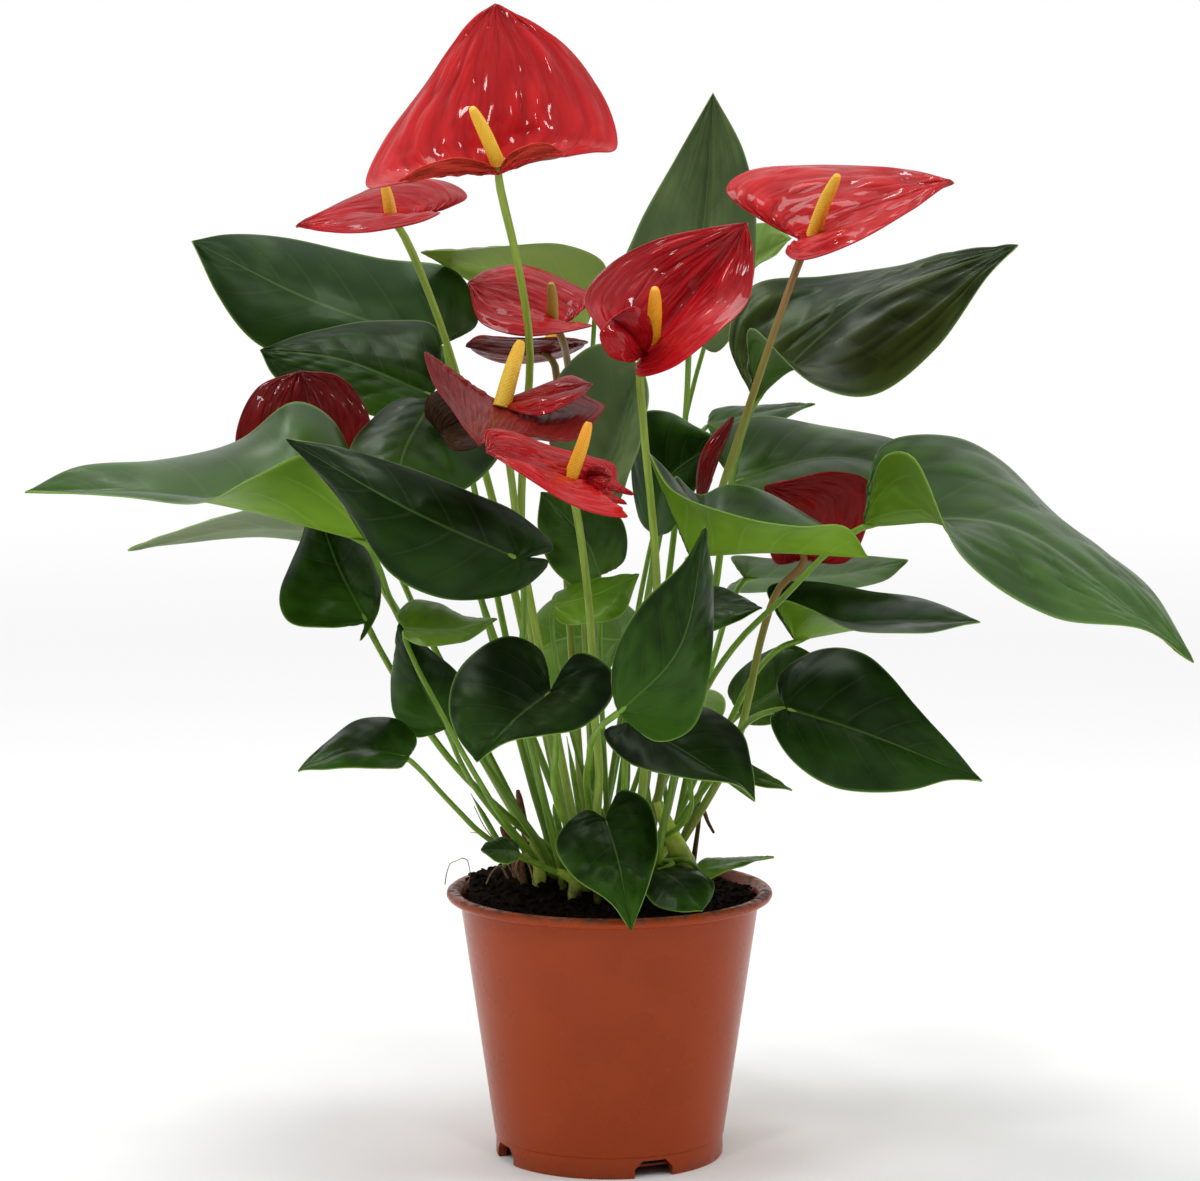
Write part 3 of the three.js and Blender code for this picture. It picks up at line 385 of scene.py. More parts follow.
def blade_sheet(form, stations, steps):
    """The middle surface of a blade: points, faces, corner places, rim, and (along, out, side)."""
    base, tip = seen(form["base"]), seen(form["tip"])
    midrib = SmoothLine([base, seen(form["middle"]), tip])
    shares = np.linspace(0.0, 1.0, stations + 1)
    along = np.clip((shares - BLADE_FAN) / (1 - BLADE_FAN), 0.0, None)
    spine_points = midrib.at(along)
    points, traits, spine = [base], [(0.0, 0.0, 0)], []
    for k, share in enumerate(shares):
        if along[k] > 0:
            points.append(spine_points[k])
            traits.append((share, 0.0, 0))
        spine.append(len(points) - 1)
    faces, places, rims = [], [], []
    outs = np.arange(1, steps + 1) / steps
    for side, edge_name in ((1, "left"), (-1, "right")):
        edge = SmoothLine([base, *map(seen, form[edge_name]), tip])
        ends, tangents = edge.at(shares), edge.tangent(shares)
        lifts = np.cross(tangents, spine_points - ends) * -side * form.get("bow", BLADE_BOW)
        rows = []
        for k, share in enumerate(shares):
            row = [spine[k]] * (steps + 1)
            if 0 < k < stations:
                row[1:] = range(len(points), len(points) + steps)
                reach = outs[:, None]
                ray = spine_points[k] + (ends[k] - spine_points[k]) * reach
                points.extend(ray + lifts[k] * 4 * reach * (1 - reach))
                traits.extend((share, out, side) for out in outs)
            rows.append(row)
        for k in range(stations):
            for u in range(steps):
                corners = [(k, u), (k + 1, u), (k + 1, u + 1), (k, u + 1)]
                face, place = [], []
                for row, step in corners:
                    if rows[row][step] not in face:
                        face.append(rows[row][step])
                        place.append((shares[row], 0.5 + side * step / steps / 2))
                if len(face) > 2:
                    faces.append(face if side > 0 else face[::-1])
                    places.append(place if side > 0 else place[::-1])
        rims.append([row[steps] for row in rows])
    rim = rims[1] + rims[0][-2:0:-1]
    return dict(points=np.array(points), faces=faces, places=places, rim=rim, midrib=midrib,
                traits=np.array(traits, float))


def sheet_normals(points, faces):
    """One normal for each vertex, from the faces around it; larger faces count for more."""
    normals = np.zeros_like(points)
    for size in (3, 4):
        some = np.array([face for face in faces if len(face) == size], int)
        if len(some):
            a, b, c, d = (points[some[:, corner]] for corner in (0, 1, 2, -1))
            facing = np.cross(b - a, c - a) if size == 3 else np.cross(c - a, d - b)
            for corner in range(size):
                np.add.at(normals, some[:, corner], facing)
    return unit(normals)


# %% From sheet to solid blade
PAINTED_LIGHT_BASE, PAINTED_LIGHT_LOW, PAINTED_LIGHT_CLOUDS, PAINTED_LIGHT_RELIEF = 0.03, 0.95, 0.35, 1.1
CLOUD_SCALE, CLOUD_SHIFT = 0.05, 3.7
RIM_BULGE, RIM_THINNING = 0.25, 0.45


def blade_painted_light(points, swell, seed):
    """Painted light and shade for each point of a blade: lower and swollen parts are painted lighter,
    with some random clouds.
    """
    heights = points[:, 2]
    low = (heights.max() - heights) / max(heights.max() - heights.min(), 1e-6)
    shift = Vector((seed * CLOUD_SHIFT, 0, 0))
    clouds = np.array([noise.noise(Vector(point) * CLOUD_SCALE + shift) for point in points])
    # Painted light: lower points and swellings are painted lighter, higher and sunken ones darker, as if
    # in shade.
    painted_light_values = PAINTED_LIGHT_LOW * smoothstep(0.3, 1.0, low) + PAINTED_LIGHT_CLOUDS * clouds + PAINTED_LIGHT_BASE
    return np.clip(painted_light_values + swell * PAINTED_LIGHT_RELIEF, 0.0, 1.0)


def add_blade(sculpture, sheet, relief, thickness, upper, under, edge, seed=0):
    """Lays the relief on the sheet, gives it two faces and closes it with a thin rounded rim."""
    points, faces, places = sheet["points"], sheet["faces"], sheet["places"]
    along, out, side = sheet["traits"].T
    swell = relief(along, out, side)
    points = points + sheet_normals(points, faces) * swell[:, None]
    normals = sheet_normals(points, faces)
    half = thickness / 2 * (1 - RIM_THINNING * smoothstep(0.9, 1.0, out))[:, None]
    top, bottom = points + normals * half, points - normals * half
    # Each point gets its painted light value, which the leaf and spathe finishes turn into painted light
    # and shade.
    painted_light_values = blade_painted_light(points, swell, seed)
    sculpture.add(top, faces, upper, places, painted_light_values)
    lower = [face[::-1] for face in faces]
    sculpture.add(bottom, lower, under, [place[::-1] for place in places], painted_light_values)
    rim = sheet["rim"]
    onward = np.roll(points[rim], -1, axis=0) - np.roll(points[rim], 1, axis=0)
    bulge = unit(np.cross(onward, normals[rim])) * thickness * RIM_BULGE
    size = len(rim)
    strip = []
    for level in (0, size):
        for i in range(size):
            j = (i + 1) % size
            strip.append([level + j, level + i, level + size + i, level + size + j])
    # The rim strip is given full painted light.
    sculpture.add(np.vstack([top[rim], points[rim] + bulge, bottom[rim]]), strip, edge, None, 1.0)


# %% [markdown]
# ## Effects for the finishes
# The colour of a leaf could be painted as an image, but then each leaf would need its own. Each
# effect here is a shader group that works from the place on the blade or from the place in space,
# and gives out masks. The finishes below mix their colours with these masks.

# %% Small helpers for effects
VECTOR, FLOAT = "NodeSocketVector", "NodeSocketFloat"
# The Mix node has sockets of one name for each kind of value; these numbers pick the colours.
COLOUR_A, COLOUR_B, COLOUR_RESULT = 6, 7, 2


def new_effect(name, inputs, outputs):
    """An empty shader group with named sockets; each input is given by its kind and its default."""
    group = bpy.data.node_groups.new(name, "ShaderNodeTree")
    for socket_name, (kind, default) in inputs.items():
        socket = group.interface.new_socket(name=socket_name, in_out="INPUT", socket_type=kind)
        if default is not None:
            socket.default_value = default
    for socket_name in outputs:
        group.interface.new_socket(name=socket_name, in_out="OUTPUT", socket_type=FLOAT)
    source, result = group.nodes.new("NodeGroupInput"), group.nodes.new("NodeGroupOutput")
    print("effect", name, "gives", outputs)
    return group, source.outputs, result.inputs


def use_effect(tree, name, **settings):
    """Puts a group into a material; underscores in the setting names stand for spaces."""
    node = add_node(tree, "Group", {}, node_tree=bpy.data.node_groups[name])
    for socket_name, value in settings.items():
        set_or_link(tree, node.inputs[socket_name.replace("_", " ")], value)
    return node.outputs


def noise_node(tree, vector, scale, detail=3.0, roughness=0.5):
    """Cloudy noise between 0 and 1; a higher scale makes it finer."""
    settings = {"Vector": vector, "Scale": scale, "Detail": detail, "Roughness": roughness}
    return add_node(tree, "TexNoise", settings).outputs["Fac"]


def stretched_noise(tree, place, along, across, detail, roughness):
    """Noise on the place of a blade or stem, finer by the two factors in its two directions."""
    x, y, _ = split_vector(tree, place)
    join = add_node(tree, "CombineXYZ", {"X": times(tree, x, along), "Y": times(tree, y, across)})
    return noise_node(tree, join.outputs[0], 1.0, detail, roughness)


def mix_colour(tree, factor, first, second):
    """The first colour where the factor is 0, the second where it is 1."""
    settings = {"Factor": factor, COLOUR_A: first, COLOUR_B: second}
    return add_node(tree, "Mix", settings, data_type="RGBA").outputs[COLOUR_RESULT]


def off_middle(tree, value):
    """How far a value lies from one half."""
    return math_node(tree, "ABSOLUTE", math_node(tree, "SUBTRACT", value, 0.5))


# %% Effect: the veins of a blade
def make_blade_veins():
    """Side veins that slant toward the tip, a midrib and a pale margin; Place is (along, across)."""
    defaults = {"Count": (FLOAT, 12.0), "Width": (FLOAT, 0.006), "Slant": (FLOAT, 0.1)}
    outputs = ["Veins", "Midrib", "Margin"]
    tree, source, result = new_effect("blade_veins", {"Place": (VECTOR, None), **defaults}, outputs)
    along, across, _ = split_vector(tree, source["Place"])
    outward = times(tree, off_middle(tree, across), 2.0)
    level = math_node(tree, "SUBTRACT", along, times(tree, outward, source["Slant"]))
    nearness = off_middle(tree, math_node(tree, "FRACT", times(tree, level, source["Count"])))
    aside = math_node(tree, "DIVIDE", nearness, source["Count"])
    spread = times(tree, aside, math_node(tree, "ADD", outward, 0.3))
    line = ramp_node(tree, spread, 0.0, source["Width"], 1.0, 0.0)
    fading = ramp_node(tree, outward, 0.6, 0.93, 1.0, 0.0)
    link(tree, times(tree, line, fading), result["Veins"])
    link(tree, ramp_node(tree, outward, 0.0, 0.035, 1.0, 0.0), result["Midrib"])
    link(tree, ramp_node(tree, outward, 0.955, 1.0), result["Margin"])


make_blade_veins()


# %% Effects: cloudy variation with a fine grain, and long streaks
GRAIN_FINENESS = 30.0


def make_mottle():
    """Slow clouds for changes of shade, and a much finer grain for bumps."""
    inputs = {"Scale": (FLOAT, 30.0), "Low": (FLOAT, 0.35), "High": (FLOAT, 0.65)}
    tree, source, result = new_effect("mottle", inputs, ["Clouds", "Grain"])
    place = object_place(tree)
    clouds = noise_node(tree, place, source["Scale"])
    fine = times(tree, source["Scale"], GRAIN_FINENESS)
    link(tree, ramp_node(tree, clouds, source["Low"], source["High"]), result["Clouds"])
    link(tree, noise_node(tree, place, fine, 2.0), result["Grain"])


def make_streaks():
    """Streaks that follow a stem; Along and Across say how fine they are in the two directions."""
    inputs = {"Place": (VECTOR, None), "Along": (FLOAT, 2.0), "Across": (FLOAT, 9.0)}
    tree, source, result = new_effect("streaks", inputs, ["Streaks"])
    streaks = stretched_noise(tree, source["Place"], source["Along"], source["Across"], 4.0, 0.6)
    link(tree, ramp_node(tree, streaks, 0.35, 0.7), result["Streaks"])


make_mottle()
make_streaks()

# %% [markdown]
# ## Leaf finishes
# A leaf is waxy: a deep green body whose broad reflections look green too, with paler veins and
# margin. The underside is lighter and duller. The lamps could be left to do all the shading, but
# soft skin also lets light through, and that light is painted: every point of a blade carries a
# painted light value, lighter where the blade hangs low or swells, and each finish mixes its deep
# and its light shade by it, as painted shade and painted light.

# %% Small helpers for finishes
def place_output(tree):
    """The place on the blade or stem, as (along, across)."""
    return add_node(tree, "UVMap", {}, uv_map="place").outputs["UV"]


def mix_by_painted_light(tree, deep, light):
    """Painted light and shade: the colour between deep and light that the painted light value of each
    point asks for.
    """
    painted_light = add_node(tree, "Attribute", {}, attribute_name="painted_light").outputs["Fac"]
    return mix_colour(tree, painted_light, deep, light)


def principled(tree, output, settings):
    """The main shader of a material, joined to its output."""
    shader = add_node(tree, "BsdfPrincipled", settings)
    link(tree, shader.outputs[0], output.inputs["Surface"])


def bump_node(tree, height, strength, distance):
    """Normals that make a height look raised without moving a point."""
    settings = {"Strength": strength, "Distance": distance, "Height": height}
    return add_node(tree, "Bump", settings).outputs["Normal"]


# %% Leaf finishes
LEAF_VEINS, VEIN_SLANT = 9.0, 0.14
LEAF_SHEEN = (0.62, 0.88, 0.50)
MIDRIB_SHARE, MARGIN_SHARE = 0.55, 0.8
TOP_VEIN_SHARE, UNDER_VEIN_SHARE = 0.11, 0.3


def leaf_finish(name, deep, light, vein, vein_share, roughness, specular):
    """Waxy leaf skin: deep and light are its two shades, vein the colour of veins and margin."""
    _, tree, output = new_material(name)
    place = place_output(tree)
    veins = use_effect(tree, "blade_veins", Place=place, Count=LEAF_VEINS, Width=0.005, Slant=VEIN_SLANT)
    lines = times(tree, veins["Veins"], vein_share)
    lines = math_node(tree, "MAXIMUM", lines, times(tree, veins["Midrib"], MIDRIB_SHARE))
    lines = math_node(tree, "MAXIMUM", lines, times(tree, veins["Margin"], MARGIN_SHARE))
    grain = use_effect(tree, "mottle", Scale=60.0)["Grain"]
    principled(tree, output, {
        "Base Color": mix_colour(tree, lines, mix_by_painted_light(tree, deep, light), vein),
        "Roughness": roughness,
        "Specular IOR Level": specular,
        "Specular Tint": LEAF_SHEEN,
        "Normal": bump_node(tree, grain, 0.12, 0.0002),
    })


# %% Shades of the leaves
# Each row: the deep shade and the light shade, mixed by painted light, the veins, and how strongly the
# skin reflects.
# The rows are partly lit and shaded copies of one green: black paints leaves in shade, grey and hazy
# paint light and sheen.
LEAF_SHADES = dict(
    dusk=((0.010, 0.030, 0.006), (0.036, 0.082, 0.014), (0.10, 0.18, 0.04), 0.3),
    black=((0.003, 0.009, 0.002), (0.015, 0.042, 0.005), (0.07, 0.14, 0.025), 0.12),
    dark=((0.006, 0.018, 0.002), (0.030, 0.085, 0.007), (0.09, 0.18, 0.03), 0.14),
    mid=((0.015, 0.042, 0.003), (0.055, 0.130, 0.009), (0.13, 0.24, 0.045), 0.2),
    soft=((0.024, 0.058, 0.010), (0.050, 0.115, 0.018), (0.12, 0.22, 0.055), 0.25),
    fresh=((0.055, 0.130, 0.005), (0.12, 0.235, 0.012), (0.20, 0.34, 0.05), 0.25),
    grey=((0.074, 0.118, 0.045), (0.13, 0.19, 0.07), (0.18, 0.25, 0.11), 0.25),
    hazy=((0.040, 0.075, 0.022), (0.075, 0.130, 0.040), (0.12, 0.20, 0.07), 0.25),
    # young: a green painted pale, as a small leaf in full light looks.
    young=((0.17, 0.28, 0.055), (0.26, 0.39, 0.09), (0.30, 0.44, 0.11), 0.2),
    olive=((0.010, 0.018, 0.004), (0.036, 0.056, 0.009), (0.09, 0.14, 0.035), 0.22),
)
UNDERSIDES = dict(
    bright=((0.09, 0.19, 0.008), (0.16, 0.30, 0.016), (0.24, 0.38, 0.06)),
    pale=((0.12, 0.17, 0.07), (0.17, 0.23, 0.10), (0.25, 0.31, 0.16)),
    dull=((0.05, 0.11, 0.018), (0.07, 0.15, 0.025), (0.13, 0.22, 0.06)),
    # glowing: an underside painted bright, as if lit from behind through the leaf.
    glowing=((0.24, 0.38, 0.05), (0.32, 0.48, 0.08), (0.36, 0.50, 0.13)),
)
for shade_name, (deep, light, vein, specular) in LEAF_SHADES.items():
    leaf_finish(f"leaf_{shade_name}", deep, light, vein, TOP_VEIN_SHARE, 0.3, specular)
for shade_name, shades in UNDERSIDES.items():
    leaf_finish(f"underside_{shade_name}", *shades, UNDER_VEIN_SHARE, 0.5, 0.15)
leaf_finish("leaf_rim", (0.14, 0.24, 0.03), (0.20, 0.32, 0.05), (0.2, 0.32, 0.06), 0.0, 0.5, 0.2)
print("leaf finishes:", len(LEAF_SHADES) + len(UNDERSIDES) + 1)

# %% [markdown]
# ## Spathe finishes
# A spathe is like lacquer: smooth, red all through, with a thin clear coat. Its skin is finely
# wrinkled between ribs that run from the stalk to the tip. The coarse wrinkles are in the mesh,
# because they shape the large highlights. The fine ones would need millions of faces there, so
# they are left to a bump, whose height follows the blade like the ribs do.

# %% Effect: the wrinkled skin of a spathe
RIB_SPACING = 0.23
WRINKLES_ALONG, WRINKLES_ACROSS = 5.0, 17.0


def make_spathe_skin():
    """Ribs that run from the base to the tip, and soft wrinkles between them that follow them."""
    inputs = {"Place": (VECTOR, None), "Spacing": (FLOAT, RIB_SPACING)}
    tree, source, result = new_effect("spathe_skin", inputs, ["Ribs", "Height"])
    outward = times(tree, off_middle(tree, split_vector(tree, source["Place"])["Y"]), 2.0)
    steps = math_node(tree, "FRACT", math_node(tree, "DIVIDE", outward, source["Spacing"]))
    wrinkles = stretched_noise(tree, source["Place"], WRINKLES_ALONG, WRINKLES_ACROSS, 1.0, 0.4)
    link(tree, ramp_node(tree, off_middle(tree, steps), 0.40, 0.5), result["Ribs"])
    link(tree, off_middle(tree, wrinkles), result["Height"])


make_spathe_skin()

# %% Spathe finishes
SPATHE_SHEEN = (1.0, 0.45, 0.45)
RIB_SHARE = 0.12


def spathe_finish(name, deep, light, rib, coat, roughness):
    """Lacquered skin that wrinkles in the light, in two shades mixed by painted light and shade; the
    ribs are a little darker or paler than it.
    """
    _, tree, output = new_material(name)
    skin = use_effect(tree, "spathe_skin", Place=place_output(tree), Spacing=RIB_SPACING)
    ribs = times(tree, skin["Ribs"], RIB_SHARE)
    # The base colour carries painted light and shade from each point's painted light value.
    principled(tree, output, {
        "Base Color": mix_colour(tree, ribs, mix_by_painted_light(tree, deep, light), rib),
        "Roughness": roughness,
        "Specular IOR Level": 0.08,
        "Specular Tint": SPATHE_SHEEN,
        "Coat Weight": coat,
        "Coat Roughness": 0.06,
        "Normal": bump_node(tree, skin["Height"], 1.0, 0.003),
    })


# %% Shades of the spathes
# Each row: the deep shade and the light shade, mixed by painted light, the ribs, the weight of the coat,
# and the roughness.
CRIMSON = ((0.29, 0.003, 0.006), (0.44, 0.007, 0.011), (0.20, 0.003, 0.006))
SPATHE_SHADES = dict(
    scarlet=((0.35, 0.004, 0.006), (0.50, 0.009, 0.011), (0.30, 0.004, 0.007), 0.32, 0.34),
    crimson=(*CRIMSON, 0.32, 0.34),
    ruby=(*CRIMSON, 0.12, 0.36),
    garnet=((0.16, 0.004, 0.003), (0.26, 0.006, 0.006), (0.12, 0.003, 0.003), 0.12, 0.4),
    wine=((0.11, 0.004, 0.004), (0.18, 0.006, 0.006), (0.24, 0.02, 0.02), 0.25, 0.38),
    # fold is painted far lighter than skin in shade: it paints the light through the turned-in lobes.
    fold=((0.50, 0.034, 0.018), (0.68, 0.050, 0.028), (0.24, 0.01, 0.01), 0.05, 0.5),
    brown=((0.16, 0.010, 0.010), (0.27, 0.022, 0.018), (0.12, 0.010, 0.010), 0.12, 0.4),
    umber=((0.030, 0.014, 0.006), (0.055, 0.022, 0.010), (0.08, 0.03, 0.012), 0.15, 0.45),
)
for shade_name, shade in SPATHE_SHADES.items():
    spathe_finish(f"spathe_{shade_name}", *shade)
print("spathe finishes:", len(SPATHE_SHADES))

# %% [markdown]
# ## Stem and spadix finishes
# A stem is smooth and pale, with deeper streaks along it, and it is painted brown and dark where it
# leaves the soil: a soil stain and painted shade low among the stems. This could be a second material
# on the lowest faces, but then it would end in a straight line. Here it is an effect by height, with
# an uneven edge. A spadix is matte and softly lit from within; its grooves between the beads are
# painted darker as shade, and its crowns lighter.

# %% Effect: the brown stain of the soil, with painted shade near it
def make_soil_stain_and_shade():
    """How brown and dark a thing is painted just above the soil, by its height, as soil stain and
    painted shade; the edge is uneven.
    """
    inputs = {"Soil": (FLOAT, 0.097), "Reach": (FLOAT, 0.009)}
    tree, source, result = new_effect("soil_stain_and_shade", inputs, ["Stain"])
    place = object_place(tree)
    clouds = noise_node(tree, place, 220.0)
    uneven = times(tree, math_node(tree, "SUBTRACT", clouds, 0.5), source["Reach"])
    level = math_node(tree, "ADD", split_vector(tree, place)["Z"], times(tree, uneven, 2.0))
    above = math_node(tree, "SUBTRACT", level, source["Soil"])
    above = math_node(tree, "DIVIDE", above, source["Reach"])
    link(tree, ramp_node(tree, above, 0.1, 1.0, 1.0, 0.0), result["Stain"])


make_soil_stain_and_shade()
# The brown of the soil stain, which also stands for painted shade low among the stems.
SOIL_STAIN_AND_SHADE = (0.075, 0.038, 0.014)


# %% Stem and spadix finishes
def stem_finish(name, pale, deep, roughness, upper=None):
    """A stem that is pale, with deeper streaks along it; upper is the colour it turns to on top."""
    _, tree, output = new_material(name)
    place = place_output(tree)
    streaks = use_effect(tree, "streaks", Place=place, Along=14.0, Across=7.0)["Streaks"]
    shade = mix_colour(tree, streaks, pale, deep)
    if upper:
        along = split_vector(tree, place)["X"]
        shade = mix_colour(tree, ramp_node(tree, along, 0.5, 0.85), shade, upper)
    principled(tree, output, {
        # Near the soil the stem is painted brown, as stain and as painted shade.
        "Base Color": mix_colour(tree, use_effect(tree, "soil_stain_and_shade")["Stain"], shade, SOIL_STAIN_AND_SHADE),
        "Roughness": roughness,
        "Specular IOR Level": 0.3,
        "Normal": bump_node(tree, streaks, 0.2, 0.0002),
    })


def spadix_finish(name, crown, groove, tip):
    """Beads with painted shade in the grooves and lighter crowns; the colour turns toward the tip of the
    spike.
    """
    _, tree, output = new_material(name)
    along, height, _ = split_vector(tree, place_output(tree))
    clouds = use_effect(tree, "mottle", Scale=180.0)["Clouds"]
    body = mix_colour(tree, ramp_node(tree, along, 0.1, 1.0), crown, tip)
    principled(tree, output, {
        # The grooves between the beads take painted shade; the crowns are lighter.
        "Base Color": mix_colour(tree, ramp_node(tree, height, 0.0, 0.75), groove, body),
        "Roughness": ramp_node(tree, clouds, 0.0, 1.0, 0.42, 0.58),
        "Subsurface Weight": 0.15,
        "Subsurface Radius": (0.002, 0.001, 0.0004),
    })


stem_finish("stem_green", (0.30, 0.42, 0.05), (0.20, 0.30, 0.03), 0.42)
stem_finish("stem_brown", (0.24, 0.34, 0.04), (0.20, 0.22, 0.03), 0.45, (0.22, 0.12, 0.03))
stem_finish("stem_leaf", (0.18, 0.33, 0.025), (0.10, 0.20, 0.015), 0.42)
stem_finish("sheath_pale", (0.40, 0.50, 0.06), (0.27, 0.37, 0.035), 0.42)
stem_finish("root_brown", (0.17, 0.07, 0.025), (0.07, 0.028, 0.010), 0.75)
stem_finish("root_pale", (0.30, 0.19, 0.10), (0.13, 0.07, 0.03), 0.7)
spadix_finish("spadix_orange", (0.95, 0.56, 0.02), (0.70, 0.28, 0.01), (0.95, 0.40, 0.012))
spadix_finish("spadix_yellow", (0.95, 0.66, 0.05), (0.75, 0.40, 0.02), (0.92, 0.54, 0.035))
spadix_finish("spadix_olive", (0.50, 0.42, 0.06), (0.26, 0.16, 0.02), (0.42, 0.28, 0.04))
print("finishes so far:", len(bpy.data.materials))

# %% [markdown]
# ## Where the stems stand
# Every flower and leaf has one stem, and they all crowd out of a pot a hand wide. The stems could be
# drawn one by one, but they would run through each other. Each stem takes a free spot of a grid in
# the soil, follows a smooth line to its blade, and is then bent aside where it comes too near
# another. The CAD part places its stems in this same way, so both land in the same places.

# %% The soil's surface and the spots for the feet
SOIL_EDGE, SOIL_REACH, SOIL_CROWN = 93.0, 54.0, 4.0
MOUND_X, MOUND_Y, MOUND_HEIGHT, MOUND_SPREAD = -31.0, 3.0, 11.0, 18.0
FOOT_PITCH, FOOT_SPREAD, FOOT_PULL = 8.6, 40.0, 0.34


def soil_height(x, y):
    """The height of the soil in millimetres: a low crown with a mound at the left."""
    crown = SOIL_CROWN * (1 - np.minimum(1.0, np.hypot(x, y) / SOIL_REACH) ** 4)
    away = ((x - MOUND_X) ** 2 + (y - MOUND_Y) ** 2) / (2 * MOUND_SPREAD**2)
    return SOIL_EDGE + crown + MOUND_HEIGHT * np.exp(-away)


def foot_spots():
    """A grid of equal triangles, kept inside a circle."""
    pitch = FOOT_PITCH * math.sqrt(3) / 2
    rows = math.ceil(FOOT_SPREAD / pitch)
    spots = []
    for row in range(-rows, rows + 1):
        for column in range(-rows - 1, rows + 2):
            spot = ((column + row % 2 / 2) * FOOT_PITCH, row * pitch)
            if math.hypot(*spot) < FOOT_SPREAD:
                spots.append(spot)
    return spots


free_spots = foot_spots()


def ground(x, y):
    """The point of the soil's surface above (x, y)."""
    return np.array([x, y, float(soil_height(x, y))])


def take_foot(lowest):
    """The free spot nearest to where the stem leans; it is taken off the list."""
    wanted = (lowest[0] * FOOT_PULL, lowest[1] * FOOT_PULL)
    free_spots.sort(key=lambda spot: math.dist(spot, wanted))
    return ground(*free_spots.pop(0))


print("spots for feet:", len(free_spots))

# %% A stem
STEM_STEPS, STEM_DEPTH, MOUTH_HEIGHT = 7, 22.0, 3.5
# A stem in a sheath starts 1 mm above the soil, inside the sheath, so its depth is negative.
SHEATH_START, SHEATH_FOOT, SHEATH_DEPTH = 7.0, 3.6, -1.0
STALK_RADII, PETIOLE_RADII, SHOOT_SCALE = (2.2, 1.5), (2.1, 1.2), 0.8


class Stem:
    """A row of centres from below the soil up to the blade, with a radius at each."""

    def __init__(self, owner, foot, via, ends, radii, in_sheath=False):
        self.owner, self.foot, self.radii, self.in_sheath = owner, foot, radii, in_sheath
        mouth = foot + [0, 0, SHEATH_START if in_sheath else MOUTH_HEIGHT]
        line = SmoothLine([mouth, *via[::-1], *ends])
        root = foot - [0, 0, SHEATH_DEPTH if in_sheath else STEM_DEPTH]
        self.centres = [root, mouth, *line.at(np.arange(1, STEM_STEPS + 1) / STEM_STEPS)]
        if len(ends) > 1:
            self.centres.insert(-1, np.array(ends[0]))
        self.centres = np.array(self.centres)

    def radius(self, share):
        """The radius at a share of the way up; it shrinks fastest near the soil."""
        foot, top = self.radii
        return foot + (top - foot) * np.sqrt(share)

    def girth(self, index):
        """The radius that has to stay clear around a centre; in a sheath, the sheath's."""
        if self.in_sheath and index < 2:
            return SHEATH_FOOT
        return self.radius(index / (len(self.centres) - 1))

    def movable(self, index):
        """Two centres at the foot and two under the blade stay where they are."""
        return 2 <= index < len(self.centres) - 2


print("radii in mm at the soil and at the blade: stalk", STALK_RADII, "petiole", PETIOLE_RADII)


# %% Which stretches of stems come near each other
STEM_CLEARANCE, CLEARING_ROUNDS, WATCHED_GAP = 0.5, 60, 9.0
LEAST_PUSH, UNDECIDED_PUSH = 0.05, (0.3, 1.0, 0.0)


def close_stretches(stems):
    """Pairs of stem stretches whose boxes come near each other, in a fixed order."""
    ends, owners, indices = [], [], []
    for number, stem in enumerate(stems):
        for index in range(1, len(stem.centres) - 1):
            ends.append((stem.centres[index], stem.centres[index + 1]))
            owners.append(number)
            indices.append(index)
    low, high = np.min(ends, axis=1), np.max(ends, axis=1)
    owners, indices = np.array(owners), np.array(indices)
    near = np.all(low[:, None] < high[None] + WATCHED_GAP, axis=2)
    near &= np.all(high[:, None] > low[None] - WATCHED_GAP, axis=2)
    near &= owners[:, None] < owners[None]
    one, other = np.nonzero(near)
    order = np.lexsort((indices[other], indices[one], owners[other], owners[one]))
    for a, b in zip(one[order], other[order]):
        if stems[owners[a]].owner != stems[owners[b]].owner:
            yield stems[owners[a]], indices[a], stems[owners[b]], indices[b]


def nearest_shares(p1, q1, p2, q2):
    """How far along two straight stretches their nearest points lie."""
    d1, d2, r = q1 - p1, q2 - p2, p1 - p2
    a, e, f, c, b = d1 @ d1, d2 @ d2, d2 @ r, d1 @ r, d1 @ d2
    across = a * e - b * b
    s = min(1.0, max(0.0, (b * f - c * e) / across)) if across > 1e-9 else 0.5
    t = min(1.0, max(0.0, (b * s + f) / e))
    s = min(1.0, max(0.0, (b * t - c) / a))
    return s, t


# %% Bending stems clear of each other
def bend_apart(one, i, other, j):
    """Pushes two stretches apart sideways if they are too near; tells whether it had to."""
    p1, q1, p2, q2 = one.centres[i], one.centres[i + 1], other.centres[j], other.centres[j + 1]
    s, t = nearest_shares(p1, q1, p2, q2)
    apart = (p1 + (q1 - p1) * s) - (p2 + (q2 - p2) * t)
    wanted = one.girth(i) + other.girth(j) + STEM_CLEARANCE
    distance = np.linalg.norm(apart)
    if distance >= wanted:
        return False
    push = np.array([apart[0], apart[1], 0.0])
    if np.linalg.norm(push) < LEAST_PUSH:
        push = np.array(UNDECIDED_PUSH)
    push = unit(push) * ((wanted - distance) / 2 + LEAST_PUSH)
    for stem, index, share in ((one, i, 1 - s), (one, i + 1, s), (other, j, t - 1), (other, j + 1, -t)):
        if stem.movable(index):
            stem.centres[index] += push * share
    return True


def bend_clear(stems):
    """Bends all stems, round after round, until none is too near another; returns the rounds."""
    for turn in range(CLEARING_ROUNDS):
        bends = sum(bend_apart(*stretches) for stretches in close_stretches(stems))
        if bends == 0:
            return turn
    return CLEARING_ROUNDS


